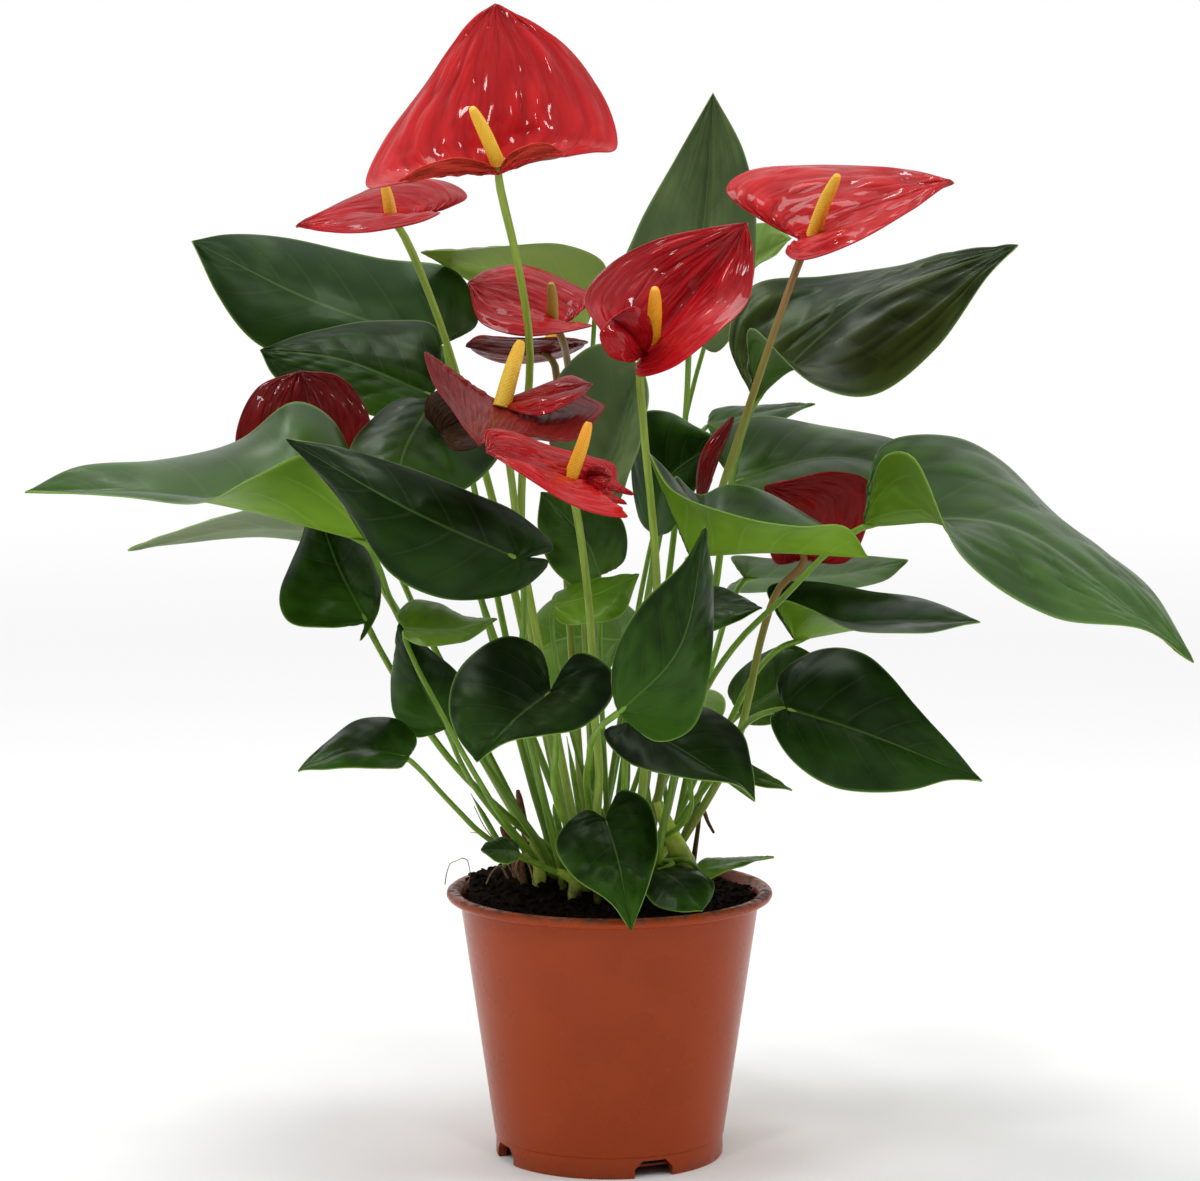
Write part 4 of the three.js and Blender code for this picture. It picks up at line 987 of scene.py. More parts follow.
# %% [markdown]
# ## Planning the plant
# Each blade is given by a few points on its edge, by its midrib and by the way its stem takes, all
# as seen in the photograph with a depth in millimetres behind the middle of the pot. They are the
# same points as in the CAD part. First everything is planned, then the stems are bent clear, and
# only then are the fine pieces made.


# %% The flowers: points as (across, down, depth)
def blade(base, middle, tip, **rest):
    """A blade's midrib, then the points of its left and right edge and the way of its stem."""
    return dict(base=base, middle=middle, tip=tip, **rest)


FLOWERS = dict(
    top=blade(
        (498, 174, -60), (497, 90, -50), (495, 3, -30),
        left=[(452, 172, -72), (402, 184, -68), (366, 184, -45), (386, 138, -32), (425, 85, -25),
              (460, 35, -24)],
        right=[(540, 158, -72), (590, 152, -62), (617, 146, -42), (602, 95, -28), (560, 42, -23)],
        via=[(519, 270, -48), (531, 385, -22), (519, 520, -18)],
        spadix_tip=(472, 108, -78), spadix_radius=2.5),
    far_left=blade(
        (402, 222, 8), (345, 215, 0), (296, 226, -8),
        left=[(440, 214, -8), (420, 223, -22), (370, 231, -28), (325, 231, -18)],
        right=[(466, 198, 22), (440, 180, 44), (395, 181, 48), (345, 200, 28)],
        via=[(424, 280, 10), (450, 355, 14), (490, 490, 14)],
        spadix_tip=(384, 183, 4), spadix_radius=2.3),
    top_right=blade(
        (803, 240, 20), (870, 212, 15), (953, 181, 8),
        left=[(765, 222, 26), (727, 193, 36), (745, 174, 50), (810, 166, 62), (897, 168, 42)],
        right=[(786, 250, 10), (800, 259, -6), (853, 243, -16), (912, 211, -6)],
        via=[(773, 335, 2), (751, 400, 2), (702, 560, 12)],
        spadix_tip=(838, 175, 2), spadix_radius=2.6),
    centre_cup=blade(
        (645, 352, -70), (700, 285, -58), (747, 223, -64),
        left=[(622, 361, -84), (601, 330, -90), (585, 298, -74), (612, 263, -58), (657, 240, -54),
              (712, 228, -58)],
        right=[(637, 375, -80), (672, 368, -88), (718, 333, -88), (748, 300, -78), (753, 255, -68)],
        via=[(648, 470, -62), (657, 580, -56), (650, 700, -40)],
        spadix_tip=(655, 288, -84), spadix_radius=2.7),
    back=blade(
        (562, 325, 44), (515, 302, 44), (468, 283, 38),
        left=[(592, 326, 40), (560, 332, 24), (515, 334, 18), (480, 322, 24)],
        right=[(592, 298, 56), (568, 282, 68), (525, 266, 72), (488, 270, 58)],
        via=[(566, 350, 60), (574, 440, 78)], spadix_tip=(551, 283, 36), spadix_radius=2.2),
    underside=blade(
        (552, 352, 82), (508, 354, 80), (466, 345, 74),
        left=[(588, 342, 70), (560, 340, 62), (512, 338, 62), (482, 337, 66)],
        right=[(584, 344, 96), (555, 360, 108), (508, 364, 106), (478, 354, 92)],
        via=[(556, 380, 86), (560, 470, 80)], spadix_tip=(566, 322, 96), spadix_radius=2.0),
    old_dark=blade(
        (503, 405, -40), (492, 427, -66), (479, 445, -88),
        left=[(540, 394, -28), (581, 381, -26), (587, 396, -36), (604, 406, -46), (596, 420, -56),
              (572, 441, -66), (545, 436, -78), (520, 434, -84)],
        right=[(462, 388, -30), (426, 352, -20), (432, 378, -36), (452, 408, -58), (466, 430, -78)],
        via=[(508, 450, -38), (516, 520, -28)],
        bow=-0.05, spadix_tip=(521, 341, -36), spadix_radius=3.1),
    front=blade(
        (578, 481, -98), (532, 466, -114), (487, 451, -124),
        left=[(627, 504, -100), (612, 503, -104), (627, 517, -112), (588, 511, -124), (556, 496, -131),
              (518, 472, -132)],
        right=[(634, 495, -96), (617, 482, -90), (614, 466, -86), (590, 457, -84), (556, 449, -90),
               (520, 434, -102), (486, 431, -116)], via=[(584, 560, -84), (592, 650, -62)],
        spadix_tip=(589, 422, -100), spadix_radius=2.4),
    hidden_left=blade(
        (322, 474, 8), (312, 425, 12), (300, 371, 16),
        left=[(284, 488, 2), (244, 468, 6), (236, 437, 9), (258, 388, 14)],
        right=[(350, 482, 6), (370, 450, 8), (367, 412, 11), (340, 377, 15)],
        via=[(352, 535, 4), (420, 650, 4)], spadix_tip=(337, 441, -4), spadix_radius=2.2),
    turned_away=blade(
        (802, 558, 8), (800, 520, 0), (765, 486, -6),
        left=[(846, 562, 10), (868, 520, 4), (868, 482, 0), (836, 472, -2)],
        right=[(778, 564, 10), (768, 545, 6), (764, 520, 2)],
        via=[(781, 585, 8), (758, 650, 4), (738, 740, 0)],
        spadix_tip=(806, 512, 26), spadix_radius=2.2),
)
BUD = blade((700, 500, 24), (710, 458, 26), (733, 418, 28), via=[(696, 560, 24)])
print("flowers planned:", len(FLOWERS), "and one bud")

# %% The leaves: points as (across, down, depth)
LEAVES = dict(
    upper_left=blade(
        (440, 345, 96), (310, 300, 82), (192, 241, 58),
        left=[(452, 374, 92), (400, 388, 86), (330, 368, 80), (258, 344, 66), (218, 296, 58)],
        right=[(478, 322, 108), (456, 272, 114), (376, 258, 112), (281, 237, 96), (228, 235, 74)],
        via=[(468, 460, 70)]),
    under_upper_left=blade(
        (432, 396, 38), (340, 360, 43), (260, 350, 40),
        left=[(424, 420, 32), (385, 418, 28), (330, 404, 30), (276, 378, 35)],
        right=[(440, 368, 50), (432, 324, 66), (375, 321, 66), (306, 333, 54)], via=[(450, 480, 26)]),
    far_left=blade(
        (366, 541, -54), (190, 499, -60), (25, 492, -46),
        left=[(335, 492, -80), (311, 454, -92), (252, 478, -96), (200, 502, -86), (120, 496, -72)],
        right=[(362, 492, -20), (333, 420, -4), (295, 402, 2), (238, 439, -8), (157, 462, -26),
               (76, 468, -38)], via=[(395, 610, -22), (452, 710, -16)]),
    pale_left=blade(
        (378, 540, 48), (250, 528, 44), (128, 550, 36),
        left=[(340, 508, 20), (285, 500, 6), (214, 520, 14), (176, 532, 24)],
        right=[(345, 556, 70), (300, 540, 84), (224, 539, 72), (168, 545, 54)], via=[(430, 640, 26)]),
    front_left=blade(
        (516, 558, -92), (402, 506, -116), (286, 439, -92),
        left=[(549, 562, -80), (528, 585, -84), (490, 598, -94), (440, 598, -108), (390, 573, -116),
              (348, 512, -108)],
        right=[(554, 548, -76), (520, 513, -84), (472, 492, -96), (400, 465, -102), (340, 448, -98)],
        via=[(524, 600, -66), (522, 690, -42)]),
    hanging_left=blade(
        (367, 622, -34), (336, 562, -34), (314, 496, -22),
        left=[(330, 628, -46), (289, 622, -42), (281, 590, -30), (303, 532, -20)],
        right=[(360, 641, -44), (378, 612, -30), (379, 572, -16), (350, 522, -12)],
        via=[(392, 671, -22), (450, 760, -20)]),
    middle_left=blade(
        (430, 404, 4), (404, 452, -24), (394, 500, -52),
        left=[(468, 386, 10), (508, 425, -2), (497, 459, -18), (455, 494, -40)],
        right=[(404, 398, 14), (364, 426, 0), (350, 455, -18), (366, 488, -40)],
        via=[(452, 500, 4), (488, 620, 2)]),
    centre_heart=blade(
        (550, 693, -80), (513, 722, -98), (477, 762, -106),
        left=[(577, 653, -76), (610, 668, -80), (613, 694, -86), (580, 728, -98), (508, 741, -108)],
        right=[(541, 650, -72), (508, 636, -70), (464, 662, -80), (449, 704, -92), (458, 737, -102)],
        via=[(556, 740, -66), (556, 800, -48)]),
    upright_front=blade(
        (619, 713, -104), (678, 650, -112), (705, 527, -128),
        left=[(612, 690, -104), (614, 658, -106), (640, 606, -114), (684, 562, -122)],
        right=[(656, 741, -104), (692, 728, -98), (708, 680, -94), (714, 600, -106)],
        via=[(596, 732, -88), (590, 790, -36)]),
    under_upright=blade(
        (632, 722, -58), (692, 757, -70), (755, 801, -82),
        left=[(652, 702, -44), (702, 706, -42), (740, 730, -52), (752, 766, -68)],
        right=[(604, 732, -64), (632, 764, -80), (690, 779, -88), (734, 784, -88)],
        via=[(624, 790, -44)]),
    front_bottom=blade(
        (606, 820, -50), (619, 864, -66), (631, 931, -74),
        left=[(620, 791, -46), (646, 800, -50), (658, 840, -60), (650, 880, -70)],
        right=[(586, 810, -46), (556, 842, -56), (572, 875, -66), (612, 904, -73)],
        via=[(603, 838, -34)], girth=0.8),
    lower_right=blade(
        (787, 709, -54), (866, 734, -66), (982, 781, -76),
        left=[(778, 678, -40), (818, 650, -36), (866, 655, -42), (916, 706, -56), (950, 745, -66)],
        right=[(771, 717, -58), (792, 760, -72), (838, 788, -82), (910, 790, -84), (950, 780, -80)],
        via=[(750, 720, -32), (716, 772, -6)]),
    far_right=blade(
        (864, 525, -30), (1008, 527, -36), (1194, 662, -30),
        left=[(884, 444, 4), (955, 437, 22), (1003, 463, 24), (1060, 520, 16), (1146, 584, -6)],
        right=[(885, 456, -54), (912, 456, -66), (961, 555, -72), (1051, 616, -62), (1150, 632, -40)],
        via=[(834, 547, -22), (780, 601, -14), (711, 678, -6)]),
    upper_right=blade(
        (755, 400, 52), (866, 302, 60), (1018, 245, 44),
        left=[(729, 340, 64), (752, 287, 80), (824, 275, 88), (903, 266, 80), (970, 249, 60)],
        right=[(752, 328, 20), (815, 383, 12), (872, 395, 22), (935, 350, 32), (988, 276, 40)],
        via=[(738, 450, 40), (728, 500, 31), (706, 640, 22)]),
    top_back=blade(
        (690, 335, 104), (706, 205, 104), (713, 93, 86),
        left=[(664, 352, 94), (616, 300, 94), (636, 232, 98), (676, 158, 96)],
        right=[(716, 352, 98), (748, 300, 100), (756, 220, 98), (744, 153, 94)], via=[(684, 440, 84)]),
    folded_right=blade(
        (690, 556, -64), (772, 552, -76), (868, 557, -64),
        left=[(676, 476, -44), (700, 495, -36), (727, 486, -36), (764, 492, -34), (822, 524, -44)],
        right=[(650, 452, -98), (672, 490, -108), (742, 517, -106), (800, 526, -94), (847, 528, -76)],
        via=[(690, 650, -44)]),
    background_right=blade(
        (735, 482, 66), (830, 458, 72), (930, 476, 68),
        left=[(714, 444, 86), (754, 416, 98), (828, 428, 102), (898, 442, 90)],
        right=[(735, 506, 48), (790, 512, 38), (860, 500, 42), (905, 490, 54)], via=[(712, 600, 56)]),
    pointed_right=blade(
        (795, 640, 38), (880, 626, 46), (980, 622, 42),
        left=[(768, 588, 70), (804, 580, 84), (870, 590, 84), (938, 603, 62)],
        right=[(779, 601, 14), (812, 611, 6), (856, 630, 8), (925, 633, 24)],
        via=[(764, 661, 22), (726, 730, 10)]),
    grey_right=blade(
        (745, 578, 92), (830, 575, 100), (908, 560, 92),
        left=[(728, 590, 112), (775, 592, 128), (850, 588, 124), (884, 581, 110)],
        right=[(732, 556, 76), (770, 560, 62), (815, 560, 62), (862, 557, 76)], via=[(716, 650, 66)]),
    dark_centre=blade(
        (596, 505, 28), (622, 430, 36), (642, 366, 40),
        left=[(566, 490, 30), (548, 430, 40), (556, 380, 46), (600, 344, 46)],
        right=[(615, 505, 16), (632, 470, 12), (645, 420, 18), (648, 388, 28)], via=[(588, 590, 20)]),
)
print("leaves planned:", len(LEAVES))

# %% The shoots: small leaves that share one foot
SHOOTS = dict(
    shoot_low_right=[
        blade(
            (656, 868, -22), (680, 884, -34), (702, 911, -46),
            left=[(680, 866, -16), (712, 880, -26), (712, 896, -36)],
            right=[(640, 882, -38), (654, 904, -46), (682, 912, -50)], via=[(672, 862, -18)]),
        blade(
            (700, 871, -16), (728, 865, -15), (774, 857, -12),
            left=[(700, 860, -4), (722, 858, 0), (750, 858, -4)],
            right=[(704, 881, -26), (724, 873, -27), (752, 862, -20)], via=[(694, 862, -18)]),
        blade(
            (692, 768, -30), (740, 774, -34), (792, 790, -36),
            left=[(690, 754, -20), (718, 752, -18), (760, 770, -25)],
            right=[(688, 776, -40), (716, 780, -43), (756, 785, -43)], via=[(690, 812, -30)]),
    ],
    shoot_behind=[
        blade(
            (740, 712, 34), (776, 690, 34), (814, 655, 36),
            left=[(728, 690, 44), (748, 663, 50), (786, 645, 50)],
            right=[(748, 724, 26), (776, 722, 22), (800, 690, 26)], via=[(714, 745, 34)]),
        blade(
            (620, 640, 92), (560, 640, 114), (500, 680, 130),
            left=[(610, 668, 84), (580, 690, 92), (540, 700, 108)],
            right=[(640, 620, 102), (610, 596, 118), (550, 600, 128)], via=[(640, 720, 56)]),
        blade(
            (672, 700, 84), (690, 700, 106), (700, 730, 128),
            left=[(650, 706, 86), (652, 722, 102), (672, 734, 118)],
            right=[(696, 690, 86), (722, 696, 102), (722, 716, 118)], via=[(664, 770, 46)]),
    ],
    shoot_left=[
        blade(
            (446, 728, -38), (420, 680, -44), (399, 623, -36),
            left=[(416, 737, -38), (394, 714, -34), (391, 680, -32), (396, 648, -32)],
            right=[(460, 738, -34), (472, 705, -30), (456, 672, -30), (426, 646, -32)],
            via=[(470, 780, -32)]),
        blade(
            (405, 629, -54), (450, 630, -52), (497, 619, -40),
            left=[(397, 615, -48), (414, 600, -36), (440, 604, -32), (468, 618, -32)],
            right=[(405, 637, -62), (425, 646, -66), (455, 644, -62), (480, 633, -50)],
            via=[(436, 703, -58), (500, 815, -38)]),
    ],
    shoot_back=[
        blade(
            (592, 300, 118), (506, 272, 120), (421, 252, 104),
            left=[(604, 264, 98), (560, 244, 88), (510, 246, 86), (458, 251, 94)],
            right=[(584, 326, 130), (530, 312, 132), (468, 280, 122)], via=[(590, 400, 98)]),
        blade(
            (708, 424, 116), (765, 412, 118), (815, 404, 114),
            left=[(715, 408, 127), (750, 406, 130), (785, 404, 125)],
            right=[(716, 440, 108), (755, 430, 106), (790, 416, 107)], via=[(664, 500, 92)]),
        blade(
            (722, 292, 118), (757, 262, 116), (791, 238, 110),
            left=[(728, 262, 126), (748, 228, 124), (772, 224, 118)],
            right=[(740, 290, 112), (756, 268, 109), (775, 254, 109)], via=[(690, 400, 114)]),
    ],
    shoot_centre=[
        blade(
            (655, 535, 50), (668, 480, 48), (722, 440, 42),
            left=[(640, 520, 58), (632, 460, 64), (642, 414, 62), (668, 412, 58), (696, 427, 50)],
            right=[(672, 530, 40), (690, 500, 35), (708, 465, 37)], via=[(640, 640, 30)]),
        blade(
            (553, 606, -20), (598, 594, -27), (639, 574, -30),
            left=[(556, 592, -12), (587, 581, -14), (615, 576, -21)],
            right=[(560, 622, -28), (590, 624, -34), (622, 614, -37)], via=[(560, 680, -16)]),
        blade(
            (684, 612, -20), (725, 608, -28), (762, 608, -33),
            left=[(690, 590, -10), (712, 586, -9), (738, 595, -18)],
            right=[(690, 630, -32), (712, 632, -36), (738, 620, -37)], via=[(668, 680, -18)]),
        blade(
            (600, 575, 8), (585, 540, 0), (541, 492, -10),
            left=[(585, 590, 0), (554, 570, -6), (538, 530, -10)],
            right=[(625, 560, 10), (622, 520, 8), (580, 495, 0)], via=[(600, 660, 4)]),
    ],
    tiny_lower_left=[
        blade(
            (408, 757, -62), (355, 751, -74), (298, 771, -80),
            left=[(400, 768, -76), (375, 768, -88), (345, 768, -90), (320, 770, -86)],
            right=[(416, 738, -46), (396, 719, -40), (358, 721, -46), (322, 746, -64)],
            via=[(450, 802, -48), (488, 838, -30)]),
        blade(
            (518, 852, -38), (501, 850, -42), (481, 850, -46),
            left=[(516, 860, -46), (505, 864, -50), (490, 858, -50)],
            right=[(516, 842, -32), (502, 838, -34), (488, 842, -40)], via=[(524, 858, -30)]),
    ],
)
print("shoots planned:", len(SHOOTS))

# %% Plan the stems in the order of the CAD part
COARSE_STATIONS, COARSE_STEPS = 8, 2
# How far along the midrib a stem ends, how far below the base it passes, and how deep it stops.
STALK_SEAT, PETIOLE_SEAT = (4.0, 4.0, 0.0), (6.0, 0.8, 0.4)


def seat_on(form, inward):
    """The point on the midrib where the stem arrives, and the blade's upward direction there."""
    sheet = blade_sheet(form, COARSE_STATIONS, COARSE_STEPS)
    midrib = sheet["midrib"]
    up = sheet_normals(sheet["points"], sheet["faces"])[0]
    return midrib.at(inward / midrib.lengths[-1])[0], up


def plan_stem(form, owner, seat, radii, sheath_foot=None):
    """A stem up to its seat on the blade; it takes a free foot, or shares the foot of a sheath."""
    inward, below, sunk = seat
    point, up = seat_on(form, inward)
    via = [seen(spot) for spot in form["via"]]
    foot = sheath_foot if sheath_foot is not None else take_foot(via[-1])
    ends = [seen(form["base"]) - up * below, point - up * sunk]
    stem = Stem(owner, foot, via, ends, radii, sheath_foot is not None)
    return dict(form=form, stem=stem, point=point, up=up)


def plan_petiole(form, owner, scale, sheath_foot=None):
    """The stem of a leaf; a small leaf has a thinner one."""
    radii = tuple(radius * scale for radius in PETIOLE_RADII)
    return plan_stem(form, owner, PETIOLE_SEAT, radii, sheath_foot)


flower_plans = {name: plan_stem(form, name, STALK_SEAT, STALK_RADII) for name, form in FLOWERS.items()}
bud_way = [seen(spot) for spot in BUD["via"]]
bud_stem = Stem("bud", take_foot(bud_way[-1]), bud_way, [seen(BUD["base"])], STALK_RADII)
leaf_plans = {name: plan_petiole(form, name, form.get("girth", 1.0)) for name, form in LEAVES.items()}
shoot_plans = {}
for name, forms in SHOOTS.items():
    shoot_foot = take_foot(seen(forms[0]["via"][-1]))
    shoot_plans[name] = [plan_petiole(form, name, SHOOT_SCALE, shoot_foot) for form in forms]
all_stems = [plan["stem"] for plan in flower_plans.values()] + [bud_stem]
all_stems += [plan["stem"] for plan in leaf_plans.values()]
all_stems += [plan["stem"] for plans in shoot_plans.values() for plan in plans]
print("stems:", len(all_stems), "rounds of bending:", bend_clear(all_stems))

# %% [markdown]
# ## Stems
# A stem is a round tube that tapers upward and swells a little under the blade. A curve object with
# a bevel could do it, but a mesh keeps its own place coordinates for the streaks and joins the
# blade in one piece. The tube below also makes the sheaths, the bud, the spadices and the roots.


# %% A tube along a row of centres
def tube(centres, radii, sides):
    """Points and faces of a closed tube; radii holds one number, or one for each side, per ring."""
    ahead = unit(np.gradient(centres, axis=0))
    across = np.array([1.0, 0.2, 0.0])
    turn = np.arange(sides) * 2 * np.pi / sides
    rings = []
    for centre, direction, radius in zip(centres, ahead, radii):
        across = unit(across - direction * (across @ direction))
        upward = np.cross(direction, across)
        spoke = np.outer(np.cos(turn), across) + np.outer(np.sin(turn), upward)
        rings.append(centre + spoke * np.reshape(radius, (-1, 1)))
    faces, places = [], []
    last = len(rings) - 1
    for ring in range(last):
        for side in range(sides):
            after = (side + 1) % sides
            faces.append([ring * sides + side, ring * sides + after])
            faces[-1] += [(ring + 1) * sides + after, (ring + 1) * sides + side]
            low, high = ring / last, (ring + 1) / last
            here, there = side / sides, (side + 1) / sides
            places.append([(low, here), (low, there), (high, there), (high, here)])
    ends = ([*range(sides)][::-1], [last * sides + side for side in range(sides)])
    for share, end in zip((0.0, 1.0), ends):
        faces.append(end)
        places.append([(share, 0.5)] * sides)
    return np.vstack(rings), faces, places


def add_tube(sculpture, centres, radii, sides, finish):
    """Puts a tube into a piece."""
    points, faces, places = tube(centres, radii, sides)
    sculpture.add(points, faces, finish, places)


# %% Stems
STEM_RINGS, STALK_SIDES, PETIOLE_SIDES, PETIOLE_TAPER = 34, 14, 10, 0.88
STEM_SLIMNESS = 0.86
SWELLING, SWELLING_PLACE, SWELLING_REACH = 0.12, 0.86, 0.05


def add_stem(sculpture, stem, sides, finish, shorten=0.0, end_taper=0.0):
    """A smooth tube through the bent centres, a little swollen just under the blade."""
    line = SmoothLine(stem.centres)
    share = np.linspace(0.0, 1.0 - shorten / line.lengths[-1], STEM_RINGS)
    centres = line.spline(share)
    swelling = 1 + SWELLING * np.exp(-(((share - SWELLING_PLACE) / SWELLING_REACH) ** 2))
    narrowing = 1 - end_taper * smoothstep(0.92, 1.0, share)
    radii = stem.radius(share) * STEM_SLIMNESS * swelling * narrowing
    add_tube(sculpture, centres, radii, sides, finish)


print("rings of a stem:", STEM_RINGS, "points of a ring:", STALK_SIDES, "or", PETIOLE_SIDES)

# %% [markdown]
# ## Leaves
# A leaf is its blade on its petiole, in one piece. The side veins are sunken lines that slant toward
# the tip, and the skin swells softly between them. A displacement texture could press them in, but
# it knows nothing of the blade's own directions. Here the height of every point is worked out from
# how far along and how far out it lies, and noise breaks up what would be too even.

# %% The relief of a leaf
VEIN_WIDTH, MIDRIB_WIDTH, GROOVE_PLACE, GROOVE_WIDTH = 0.014, 0.05, 0.9, 0.03
SWELL_SHARE, QUILT_SHARE, FURROW_LEVEL, EDGE_WAVE = 0.8, 2.4, 0.2, 1.1


def noise_along(spots, across, upward, level):
    """Noise at each spot; the factors stretch it in two directions, the level picks a layer."""
    return np.array([noise.noise(Vector((spot.x * across, spot.y * upward, level))) for spot in spots])


def inner_part(along, out, rise, fall, edge):
    """One inside a blade and zero at its midrib, its base and its tip."""
    rising = smoothstep(*rise, out) * smoothstep(0.02, fall, along)
    return rising * (1 - smoothstep(edge, 1.0, along))


def leaf_relief(count, depth, furrows, seed):
    """Sunken side veins and midrib, soft swelling, lengthwise furrows and a faint wave of the edge."""
    shift = Vector((seed * 7.3, seed * 3.1, 0.0))

    def relief(along, out, side):
        turns = (along - VEIN_SLANT * out) * count
        aside = np.abs(turns % 1.0 - 0.5) / count
        veins = -depth * np.exp(-((aside / VEIN_WIDTH) ** 2))
        swelling = depth * SWELL_SHARE * np.abs(np.sin(np.pi * (turns - 0.5)))
        spots = [Vector((a * 5, o * s * 2, 0)) + shift for a, o, s in zip(along, out, side)]
        wave = np.array([noise.noise(spot) for spot in spots]) * smoothstep(0.3, 1.0, out)
        quilt, bands = noise_along(spots, 3.2, 3.5, 5.0), noise_along(spots, 0.4, 5.0, 7.0)
        groove = -depth * SWELL_SHARE * np.exp(-(((out - GROOVE_PLACE) / GROOVE_WIDTH) ** 2))
        rib = -depth * np.exp(-((out / MIDRIB_WIDTH) ** 2)) * (along > BLADE_FAN)
        body = veins + swelling + quilt * depth * QUILT_SHARE + (np.abs(bands) - FURROW_LEVEL) * furrows
        inner = inner_part(along, out, (0.0, 0.12), 0.12, 0.97)
        body = body * inner * (1 - smoothstep(0.86, 0.94, out))
        return body + (wave * EDGE_WAVE + groove) * smoothstep(0.05, 0.25, along) + rib

    return relief


# %% Looks of the leaves: the shade of the upper side and the shade of the underside
LEAF_STATIONS, LEAF_STEPS = 64, 9
SMALL_STATIONS, SMALL_STEPS = 44, 7
LEAF_THICKNESS = 0.7

LEAF_LOOKS = dict(
    upper_left="dusk dull", under_upper_left="dark bright", far_left="soft bright",
    pale_left="grey pale", front_left="black dull", hanging_left="dark dull",
    middle_left="dark bright", centre_heart="black dull", upright_front="dark dull",
    under_upright="black dull", front_bottom="dark bright", lower_right="black dull",
    far_right="soft bright", upper_right="olive dull", top_back="grey dull",
    folded_right="dark bright", background_right="mid dull", pointed_right="dark bright",
    grey_right="hazy dull", dark_centre="grey dull",
)
SHOOT_LOOKS = dict(
    shoot_low_right=["dark dull", "fresh bright", "mid dull"],
    shoot_behind=["mid bright", "fresh bright", "fresh bright"],
    shoot_left=["dark dull", "fresh bright"],
    shoot_back=["mid glowing", "mid pale", "young glowing"],
    shoot_centre=["dark dull", "fresh bright", "dark dull", "mid bright"],
    tiny_lower_left=["dark dull", "mid dull"],
)
PLAIN_VEIN_DEPTH = 0.13
VEIN_DEPTHS = dict(upper_right=0.16, far_right=0.28, under_upper_left=0.10)
FURROWS = dict(upper_right=2.6, far_right=1.2, top_back=0.8, under_upper_left=0.7)


def add_leaf(sculpture, plan, look, size, seed, depth=PLAIN_VEIN_DEPTH, furrows=0.0):
    """A blade with its relief and its petiole; size is how finely the blade is divided."""
    upper, under = look.split()
    sheet = blade_sheet(plan["form"], *size)
    relief = leaf_relief(LEAF_VEINS, depth, furrows, seed)
    finishes = (f"leaf_{upper}", f"underside_{under}", "leaf_rim")
    add_blade(sculpture, sheet, relief, LEAF_THICKNESS, *finishes, seed)
    add_stem(sculpture, plan["stem"], PETIOLE_SIDES, "stem_leaf", 0.0, PETIOLE_TAPER)


print("looks:", len(LEAF_LOOKS), "leaves and", len(SHOOT_LOOKS), "shoots")

# %% [markdown]
# ## Sheaths and rolled young leaves
# At the foot of a shoot a pale sheath wraps the petioles, and one dry bract stands at the right.
# Between the stems, rolled young leaves push up. They could be blades like the others, rolled by a
# modifier, but so little of them shows that a pointed tube does. They stand on spots of the grid
# that no stem has taken, so they run through nothing at their feet.

# %% Pale sheaths at the feet
SHEATH_SIDES = 20
SHEATH_SHARES = np.array([0.0, 0.1, 0.2, 0.32, 0.45, 0.58, 0.72, 0.86, 1.0])
SHEATH_PROFILE = np.array([1.0, 1.0, 1.02, 1.0, 0.93, 0.82, 0.7, 0.58, 0.4])
SHEATHS = dict(shoot_behind=(30.0, 3.2), lower_right=(26.0, 2.8))
PLAIN_SHEATH = (20.0, 2.6)
BRACT_GIRTH = 4.1
BRACT_SPOTS = [(692, 892, -4), (686, 868, -6), (676, 846, -8), (666, 824, -8), (658, 802, -6)]
BRACT_LINE = SmoothLine([seen(spot) for spot in BRACT_SPOTS])


def add_sheath(sculpture, line, length, girth):
    """The thick pale base out of which petioles come; it follows the first part of a line."""
    turn = np.arange(SHEATH_SIDES) * 2 * np.pi / SHEATH_SIDES
    folds = 1 + 0.07 * np.cos(turn * 3 + 1.0) + 0.03 * np.cos(turn * 7)
    radii = (SHEATH_PROFILE * girth)[:, None] * folds
    centres = line.at(SHEATH_SHARES * length / line.lengths[-1])
    add_tube(sculpture, centres, radii, SHEATH_SIDES, "sheath_pale")


def stem_line(stem):
    """The lower part of a stem, from a little under the soil."""
    return SmoothLine([stem.foot - [0, 0, 4.0], stem.foot + [0, 0, 3.0], *stem.centres[1:4]])


print("the bract is", BRACT_LINE.lengths[-1].round(1), "mm long")

# %% Rolled young leaves between the stems
RIGHT_END, FRONT_END, SPROUT_DEPTH = 12.0, 0.0, 4
SPEAR_COUNT, SPEAR_HEIGHT, SPEAR_GIRTH, SPEAR_LEAN, SPEAR_RINGS = 10, 78.0, 1.8, 0.017, 24

middle_spots = [spot for spot in free_spots if spot[0] < RIGHT_END and spot[1] > FRONT_END]
middle_spots.sort(key=lambda spot: math.hypot(*spot))


def add_sprout(sculpture, foot, top, arch, girths, finish):
    """A short stem that starts a little under the soil; girths holds a radius for each of its rings."""
    down = np.array([0, 0, SPROUT_DEPTH])
    line = SmoothLine([foot - down, foot + down, (foot + top) / 2 - arch, top])
    add_tube(sculpture, line.at(np.linspace(0, 1, len(girths))), girths, PETIOLE_SIDES, finish)


